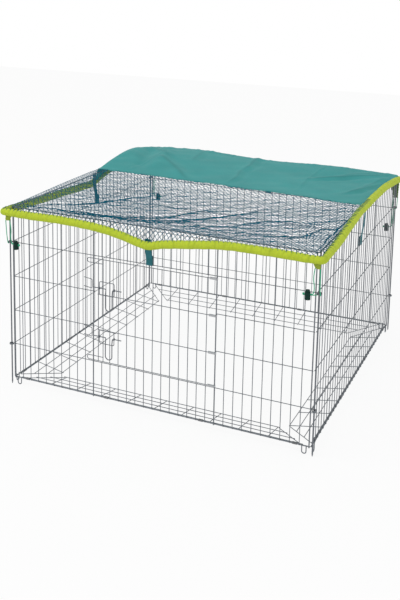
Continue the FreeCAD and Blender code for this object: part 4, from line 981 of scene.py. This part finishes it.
class RUN_OT_rim(bpy.types.Operator):
    """Padded rim all round the cover, gathered into puckers"""
    bl_idname = "rabbit_run.rim"
    bl_label = "Padded rim"

    # Points round the tube, and the cloth's length round it on the UV map.
    AROUND, GIRTH = 30, 0.083
    # Run along the rim, radius and height of a lashing; pitch, run and radius of a seam stitch.
    LASHING_RUN, LASHING_RADIUS, LASHING_RISE = 0.0065, 0.0008, 0.0022
    STITCH_PITCH, STITCH_RUN, STITCH_RADIUS = 0.009, 0.0055, 0.00035

    def execute(self, context):
        rim = RimPath()
        u, a = np.meshgrid(rim.arc[:-1], np.arange(self.AROUND) * TAU / self.AROUND, indexing="ij")
        radius, valley = rim.radius(u, a)
        normal = np.cos(a)[..., None] * rim.inward[:, None] + np.sin(a)[..., None] * rim.up[:, None]
        points = rim.line[:, None] + normal * radius[..., None]
        faces, at = grid_faces(*u.shape, True, True)
        uv = np.stack([rim.arc[at[..., 0]], at[..., 1] * (self.GIRTH / self.AROUND)], -1)
        # The valley attribute carries the painted shade of the puckers and the sewn groove.
        piece = mesh_piece("cover_rim", points, [faces], "rim_cloth", uv=[uv], attributes={"valley": valley})
        standing(piece, "rim_cloth", *["cover_rim_" + side for side in SIDES])
        self.lashings(rim)
        self.seam_stitches(rim)
        return {"FINISHED"}

    def strokes(self, rim, pitch, places):
        """Where strokes of about that pitch start round the rim, and the places along one, 0 to 1."""
        count = int(rim.arc[-1] / pitch)
        return np.arange(count)[:, None] * rim.arc[-1] / count, np.linspace(0, 1, places)[None]

    def lashings(self, rim):
        """Edge meshes of the net sewn over the rim: slanting strokes that run along it and round it
        at once, rise over its skin as sin(pi t)^0.5 and dip into it at both ends. On the right side
        they sit further out and reach less far round."""
        start, t = self.strokes(rim, bpy.context.scene.run_cover.lashing_pitch, 7)
        u = start + self.LASHING_RUN * t + 0.0012 * np.sin(start * 311.0)
        inner = rim.at(start, 0 * start)[0]
        right = eased((inner[..., 0] - 0.565) / 0.02)
        middle = 1.62 - (0.87 + 0.4 * eased((inner[..., 1] + 0.22) / 0.1)) * right
        reach = 0.62 - 0.4 * right + 0.1 * np.sin(start * 173.0)
        place, normal = rim.at(u, middle + reach * (2 * t - 1))
        rise = self.LASHING_RISE * (np.sin(t * math.pi) ** 0.5 - 0.5)
        place = place + normal * rise[..., None]
        keep = place[:, 3, 1] < seam_y(place[:, 3, 0]) - 0.004
        standing(thread_piece("net_lashing", place[keep], normal[keep], self.LASHING_RADIUS, 5, "net_twine"),
                 "net")

    def seam_stitches(self, rim):
        """Row of short stitches along the rim's seam, rising as sin(pi t) over its skin."""
        start, t = self.strokes(rim, self.STITCH_PITCH, 4)
        u = start + t * self.STITCH_RUN
        place, normal = rim.at(u, np.full(u.shape, STITCH_ANGLE))
        place = place + normal * (0.0009 * np.sin(t * math.pi) - 0.0001)[..., None]
        standing(thread_piece("rim_stitches", place, normal, self.STITCH_RADIUS, 4, "sewing_thread"),
                 "rim_cloth")


class RUN_OT_net(bpy.types.Operator):
    """Knotted net over the front of the run, with its bunched folds"""
    bl_idname = "rabbit_run.net"
    bl_label = "Net"

    # Half width of the flat net, how far past the shade's edge its crossings are kept, and the sides
    # of its twine.
    REACH, PAST_EDGE, TWINE_SIDES = 0.66, 0.009, 4

    def execute(self, context):
        """Threads run slantwise: crossing i, j lies at ((i + j) bar, (i - j) bar) in the flat net."""
        bar = context.scene.run_cover.net_bar / math.sqrt(2)
        last = 2 * (int(0.68 / bar) + 1)
        i, j = np.meshgrid(np.arange(-last, last + 1), np.arange(-last, last + 1), indexing="ij")
        near = (np.abs(i + j) * bar < self.REACH) & (np.abs(i - j) * bar < self.REACH)
        x, y = (i + j) * bar, (i - j) * bar - 0.002
        x_new, y_new, drop, seam, left = np.zeros((5,) + x.shape)
        place = np.zeros(x.shape + (3,))
        x_new[near], y_new[near], drop[near] = bunched(x[near], y[near])
        seam[near] = seam_y(x_new[near])
        inside = near & (y_new < seam + self.PAST_EDGE)
        y_new = np.where(inside, np.minimum(y_new, seam + 0.002), y_new)
        inside &= ~((np.abs(x_new) > EDGE) & (np.abs(y_new) > EDGE))
        place[inside], left[inside] = draped(x_new[inside], y_new[inside])
        place[..., 2] -= drop * eased((EDGE - np.maximum(np.abs(x_new), np.abs(y_new))) / 0.03)
        normal = np.cross(np.gradient(place, axis=1), np.gradient(place, axis=0))
        normal *= np.sign(normal[..., 2:] + 1e-9)
        normal[np.linalg.norm(normal, axis=-1) < 1e-9] = UP
        self.threads(place, normal, inside & (left > -0.01))
        return {"FINISHED"}

    def threads(self, place, normal, valid):
        """Both families of threads as one sheet, and a knot where they cross."""
        points, faces = [], []
        for p, n, kept in ((place, normal, valid),
                           (place.transpose(1, 0, 2), normal.transpose(1, 0, 2), valid.T)):
            skin, quads = tubes(p, n, self.radius(p), self.TWINE_SIDES, kept)
            faces.append(quads + sum(len(part) for part in points))
            points.append(skin)
        net = mesh_piece("cover_net_mesh", np.concatenate(points), faces, "net_twine")
        knots = self.knots(place[valid], normal[valid])
        standing(net, "net", "cover_net")

    def radius(self, place):
        """Half the twine's thickness, less where the net is drawn tight along its left edge."""
        return bpy.context.scene.run_cover.twine / 2 * (1 - 0.42 * bell(place[..., 0], -0.585, 0.075))

    def knots(self, centres, normals):
        """Small eight-sided beads, flattened on the net: centre +- 1.9 r in the net, +- 1.35 r across."""
        across = unit(normals)
        first = unit(np.cross(across, (1.0, 0.3, 0.0)))
        second = np.cross(across, first)
        radius = self.radius(centres)[:, None]
        belt = [arm * 1.9 * radius for arm in (first, second, -first, -second)]
        return standing(bead_piece("net_knots", centres, belt, across * 1.35 * radius, "net_twine"), "net")


class RUN_OT_shade(bpy.types.Operator):
    """Shade cloth over the back of the run, puffed up at its left end"""
    bl_idname = "rabbit_run.shade"
    bl_label = "Shade"

    def execute(self, context):
        """Grid from the hem to the back rim, draped, with its creases, a raised hem and wavy edge."""
        sizes = context.scene.run_cover
        b, a = np.meshgrid(np.linspace(0, 1, 150), np.linspace(0, 1, 250), indexing="ij")
        x = (2 * a - 1) * (EDGE + 0.075)
        seam = seam_y(np.clip(x, -EDGE, EDGE))
        y = seam + b * (EDGE + 0.05 - seam)
        points, left = draped(x, y)
        relief, crease_shade = creases(x, y)
        inside = eased((EDGE - np.abs(x)) / 0.02) * eased((EDGE + 0.01 - y) / 0.02)
        hem = eased((sizes.hem - (y - seam)) / 0.002)
        points[..., 2] += relief * inside + 0.0007 * hem
        points[..., 1] += 0.0018 * ripple(x, 0 * y, 0.045, 4) * eased(1 - b * 12) * inside
        points[..., 2] -= np.clip(-left, 0, 0.004)
        # The crease attribute carries the painted shade along the creases.
        piece = cloth_piece("cover_shade_cloth", points, x, y, "shade_cloth", sizes.cloth, offset=-1.0,
                            attributes={"crease": crease_shade})
        stitches = standing(self.hem_stitches(), "shade_cloth")
        standing(piece, "shade_cloth", "cover_shade")
        return {"FINISHED"}

    def hem_stitches(self):
        """Running stitch along the hem: 4 mm stitches, 6.5 mm apart."""
        x = np.arange(-0.56, 0.56, 0.0065)[:, None] + np.linspace(0, 0.0042, 4)[None]
        y = seam_y(x) + bpy.context.scene.run_cover.hem - 0.003
        place = np.stack([x, y, cover_height(x, y)], -1)
        place[..., 2] += creases(x, y)[0] + 0.0007 + np.array([0.0001, 0.0006, 0.0006, 0.0001])
        return thread_piece("hem_stitches", place, UP, 0.0004, 4, "sewing_thread")


class RUN_OT_straps(bpy.types.Operator):
    """Pull-down straps of webbing, each round a wire of its panel"""
    bl_idname = "rabbit_run.straps"
    bl_label = "Pull-down straps"

    # Place along the side, height of the held wire, and the run above it as (out, z) from the top.
    RUNS = {
        "front": (-0.0165, 0.546, ((0.0066, 0.64), (0.0058, 0.62), (0.0035, 0.601), (-0.001, 0.584))),
        "right": (-0.0165, 0.5489, ((0.004, 0.684), (0.0048, 0.666), (0.003, 0.635), (-0.002, 0.595))),
        "back": (-0.0165, 0.546, ((0.0062, 0.664), (0.0056, 0.64), (0.003, 0.61), (-0.002, 0.586))),
        "left": (-0.0496, 0.5489, ((0.0062, 0.674), (0.006, 0.64), (0.005, 0.618), (-0.0008, 0.59))),
    }
    # Radius of the half turn round the wire, small waves of the band, and half width of the stitched box.
    WRAP, WAVE, BOX = 0.0025, 0.0004, 0.009

    def execute(self, context):
        for side, (along, z, run) in self.RUNS.items():
            standing(self.band(side, along, z, run), "webbing", "cover_strap_" + side)
            standing(self.box_stitch(side, along, z), "webbing")
        return {"FINISHED"}

    def line(self, z, run):
        """The band's middle as (out, z): down, half a turn round the wire and back up inside."""
        outer, inner = WIRE_PLANE + self.WRAP, WIRE_PLANE - self.WRAP
        a = np.linspace(0, -math.pi, 9)
        turn = np.stack([WIRE_PLANE + self.WRAP * np.cos(a), z + self.WRAP * np.sin(a)], -1)
        up = ((inner, z + 0.012), (inner - 0.0004, z + 0.022), (inner - 0.0001, z + 0.032))
        raw = np.concatenate([run, [(outer, z + 0.02)], turn, up])
        arc = arc_length(raw)
        t = np.linspace(0, arc[-1], 90)
        return np.stack([through(t, arc, part) for part in raw.T], -1), t

    def band(self, side, along, z, run):
        """Grid of the line by the width: edges curl back a little and the width waves slightly."""
        sizes = bpy.context.scene.run_cover
        spots, t = self.line(z, run)
        t, s = np.meshgrid(t, np.linspace(-1, 1, 13), indexing="ij")
        out = spots[:, :1] + self.WAVE * (1 - s ** 2) + self.WAVE * np.sin(t * 190 + s * 1.5) * (t < 0.06)
        across = s * sizes.web_width / 2
        points = on_side(side, along + across * (1 + 0.012 * np.sin(t * 120)), out, spots[:, 1:])
        piece = cloth_piece("strap_" + side, points, t, across, "webbing", sizes.web_sheet, turned=True)
        edge = piece.modifiers.new("selvedge", "BEVEL")
        edge.width = 0.0004
        edge.segments = 2
        edge.angle_limit = math.radians(50)
        return piece

    def box_stitch(self, side, along, z):
        """Box and cross of 3 mm stitches through both legs of the loop, rising as sin(pi t)."""
        w, low, high = self.BOX, z + 0.011, z + 0.029
        corners = np.array([(-w, low), (w, low), (w, high), (-w, high), (-w, low), (w, high), (-w, high),
                            (w, low)])
        starts, ends = [], []
        for first, last in zip(corners, corners[1:]):
            count = max(2, int(math.hypot(*(last - first)) / 0.003))
            k = np.arange(count)[:, None] / count
            starts.append(first + k * (last - first))
            ends.append(first + (k + 0.7 / count) * (last - first))
        start, end = np.concatenate(starts), np.concatenate(ends)
        t = np.linspace(0, 1, 4)[None, :, None]
        flat = start[:, None] * (1 - t) + end[:, None] * t
        skin = WIRE_PLANE + self.WRAP + 2 * self.WAVE + bpy.context.scene.run_cover.web_sheet / 2
        out = skin + 0.0005 * np.sin(t[..., 0] * math.pi) + 0.0001
        place = on_side(side, along + flat[..., 0], out, flat[..., 1])
        return thread_piece("strap_stitches_" + side, place, SIDE_AXES[side][1], 0.00035, 4, "sewing_thread")


class RUN_OT_tabs(bpy.types.Operator):
    """Corner tabs that join the elastic cords to the rim"""
    bl_idname = "rabbit_run.tabs"
    bl_label = "Corner tabs"

    # Top, bottom, width at the top and at the bottom, and share of the rim's colour, front and back.
    SIZES = {-1: (0.652, 0.6325, 0.026, 0.018, 0.75), 1: (0.656, 0.585, 0.044, 0.019, 0.0)}
    OUT = 0.019
    SCALLOP = 0.011

    def execute(self, context):
        for corner in CORNERS:
            standing(self.tab(corner), "tab_cloth", "corner_tab_" + corner)
        return {"FINISHED"}

    def tab(self, corner):
        """Cloth that narrows from the rim to the cords; its edges are scalloped by the knit."""
        hand, face = CORNERS[corner]
        top, bottom, wide, narrow, lime = self.SIZES[face]
        t, s = np.meshgrid(np.linspace(0, 1, 40), np.linspace(-1, 1, 21), indexing="ij")
        scallop = 1 + 0.05 * np.sin(t * (top - bottom) * TAU / self.SCALLOP) * np.abs(s) ** 3
        half = (wide + (narrow - wide) * eased(t * 1.1)) / 2 * scallop
        along = 0.004 + (wide - narrow) * 0.4 * (1 - eased(t * 1.1)) + s * half
        out = self.OUT + 0.0016 * np.sin(s * 2.2 + t * 3) * t + 0.0008 * np.sin(t * 9 + s * 4)
        z = top + (bottom - top) * t
        points = np.stack(at_corner(corner, along, out, z), -1)
        return cloth_piece("tab_" + corner, points, along, z, "tab_cloth",
                           bpy.context.scene.run_cover.tab_sheet, turned=hand * face < 0,
                           attributes={"lime": np.full(t.shape, lime)})


class RUN_OT_welds(bpy.types.Operator):
    """Resistance weld beads where the panels' wires cross"""
    bl_idname = "rabbit_run.welds"
    bl_label = "Weld beads"

    # Uprights of a panel and half the distance between the outer two; lying wires, the lowest one's
    # height and the step to the next.
    UPRIGHTS, HALF, WIRES, LOWEST, STEP = 35, 0.562, 6, 0.026, 0.13
    # Belt radius and half height of a bead.
    BELT, POLE = 0.0023, 0.0013

    def execute(self, context):
        for side in SIDES:
            run, outward = SIDE_AXES[side]
            along, z = self.crossings(side)
            turns = np.arange(6) * TAU / 6 + 0.3
            belt = [run * math.cos(turn) * self.BELT + UP * math.sin(turn) * self.BELT for turn in turns]
            standing(bead_piece("welds_" + side, on_side(side, along, WELD_PLANE, z), belt,
                                outward * self.POLE, "zinc_wire"), "wire_zinc")
        return {"FINISHED"}

    def crossings(self, side):
        """Places along and heights where uprights cross rails and lying wires. On the left and right
        panels the second and the fifth wire stand a little higher, and the doorway has no crossings."""
        number = np.arange(self.UPRIGHTS)
        place = -self.HALF + 2 * self.HALF * number / (self.UPRIGHTS - 1)
        along, height = [], []
        for wire in range(self.WIRES):
            raised = side in ("left", "right") and wire in (1, 4)
            doorway = side == "front" and wire in (2, 3)
            keep = (number <= 10) | (number >= 24) | (not doorway)
            along.append(place[keep])
            height.append(np.full(keep.sum(), self.LOWEST + self.STEP * wire + 0.0029 * raised))
        return np.concatenate(along), np.concatenate(height)


class RUN_OT_metal(bpy.types.Operator):
    """Finishes of the wires, rods, clips, latches, springs and cord locks"""
    bl_idname = "rabbit_run.metal"
    bl_label = "Metal and plastic finishes"

    FINISHES = (("corner_rod", "zinc_rod"), ("barrier_clips", "zinc_sheet"), ("door_hinge", "zinc_plate"),
                ("latch", "zinc_rod"), ("lock_spring", "spring_steel"), ("lock_", "lock_plastic"),
                ("", "zinc_wire"))
    PRESS = 0.004

    def execute(self, context):
        for name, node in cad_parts.items():
            material = next(made for start, made in self.FINISHES if name.startswith(start))
            if not node.material_slots:
                raise RuntimeError("no material slot on " + name)
            for slot in node.material_slots:
                slot.material = finish(material)
        for corner in CORNERS:
            self.spring(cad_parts["lock_spring_" + corner], "lock_%s_press" % corner)
        return {"FINISHED"}

    def spring(self, piece, joint):
        """Gives a lock's spring its own copy of its mesh."""
        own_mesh(piece)


class RUN_OT_stage(bpy.types.Operator):
    """Pale floor, even sky and two soft lamps"""
    bl_idname = "rabbit_run.stage"
    bl_label = "Stage"

    def execute(self, context):
        self.floor()
        self.sky(context.scene.run_stage.sky)
        self.lamp("key", (-2.6, -2.2, 4.2), 3.2, context.scene.run_stage.key)
        self.lamp("fill", (3.6, -2.6, 2.4), 2.4, context.scene.run_stage.fill)
        context.scene.view_settings.view_transform = "Standard"
        return {"FINISHED"}

    def floor(self):
        """Flat sheet 16 m wide, half a millimetre under the run."""
        half, z = 8.0, -0.0005
        points = np.array([(-half, -half, z), (half, -half, z), (half, half, z), (-half, half, z)])
        mesh_piece("floor", points, [np.array([(0, 1, 2, 3)])], "floor", smooth=False)

    def sky(self, strength):
        """White where it is seen or mirrored, and an even light elsewhere."""
        world = bpy.data.worlds.new("sky")
        world.use_nodes = True
        bpy.context.scene.world = world
        nodes = Nodes(world.node_tree)
        light = world.node_tree.nodes["Background"]
        nodes.feed(light.inputs["Color"], WHITE)
        nodes.feed(light.inputs["Strength"], strength)
        nodes.whitened(light.outputs[0], "ShaderNodeBackground", 1.0, "World Output")

    def lamp(self, name, place, size, power):
        """Square lamp of that size, turned towards the run's middle."""
        data = bpy.data.lights.new(name, "AREA")
        data.size = size
        data.energy = power
        lamp = bpy.data.objects.new(name, data)
        lamp.location = place
        aim = np.array([0, 0, 0.4]) - np.array(place)
        flat = math.hypot(aim[0], aim[1])
        lamp.rotation_euler = (math.atan2(flat, -aim[2]), 0, math.atan2(-aim[0], aim[1]))
        bpy.context.scene.collection.objects.link(lamp)


OPERATORS = (RUN_OT_camera, RUN_OT_elastics, RUN_OT_metal, RUN_OT_rim, RUN_OT_net, RUN_OT_shade,
             RUN_OT_straps, RUN_OT_tabs, RUN_OT_welds, RUN_OT_stage)


class RUN_PT_panel(bpy.types.Panel):
    """Lists the run's pieces and their sizes and colours"""
    bl_idname = "RUN_PT_panel"
    bl_label = "Rabbit Run"
    bl_space_type = "VIEW_3D"
    bl_region_type = "UI"
    bl_category = "Rabbit Run"

    def draw(self, context):
        for group in GROUPS:
            box = self.layout.box()
            settings = getattr(context.scene, group)
            for key in settings.__annotations__:
                box.prop(settings, key)
        for operator in OPERATORS:
            self.layout.operator(operator.bl_idname)


def register():
    for made in list(GROUPS.values()) + list(OPERATORS) + [RUN_PT_panel]:
        bpy.utils.register_class(made)
    for name, group in GROUPS.items():
        setattr(bpy.types.Scene, name, PointerProperty(type=group))


def unregister():
    for name in GROUPS:
        delattr(bpy.types.Scene, name)
    for made in [RUN_PT_panel] + list(OPERATORS)[::-1] + list(GROUPS.values())[::-1]:
        bpy.utils.unregister_class(made)


def main():
    """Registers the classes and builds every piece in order."""
    register()
    for operator in OPERATORS:
        category, name = operator.bl_idname.split(".")
        getattr(getattr(bpy.ops, category), name)()


if __name__ == "__main__":
    main()
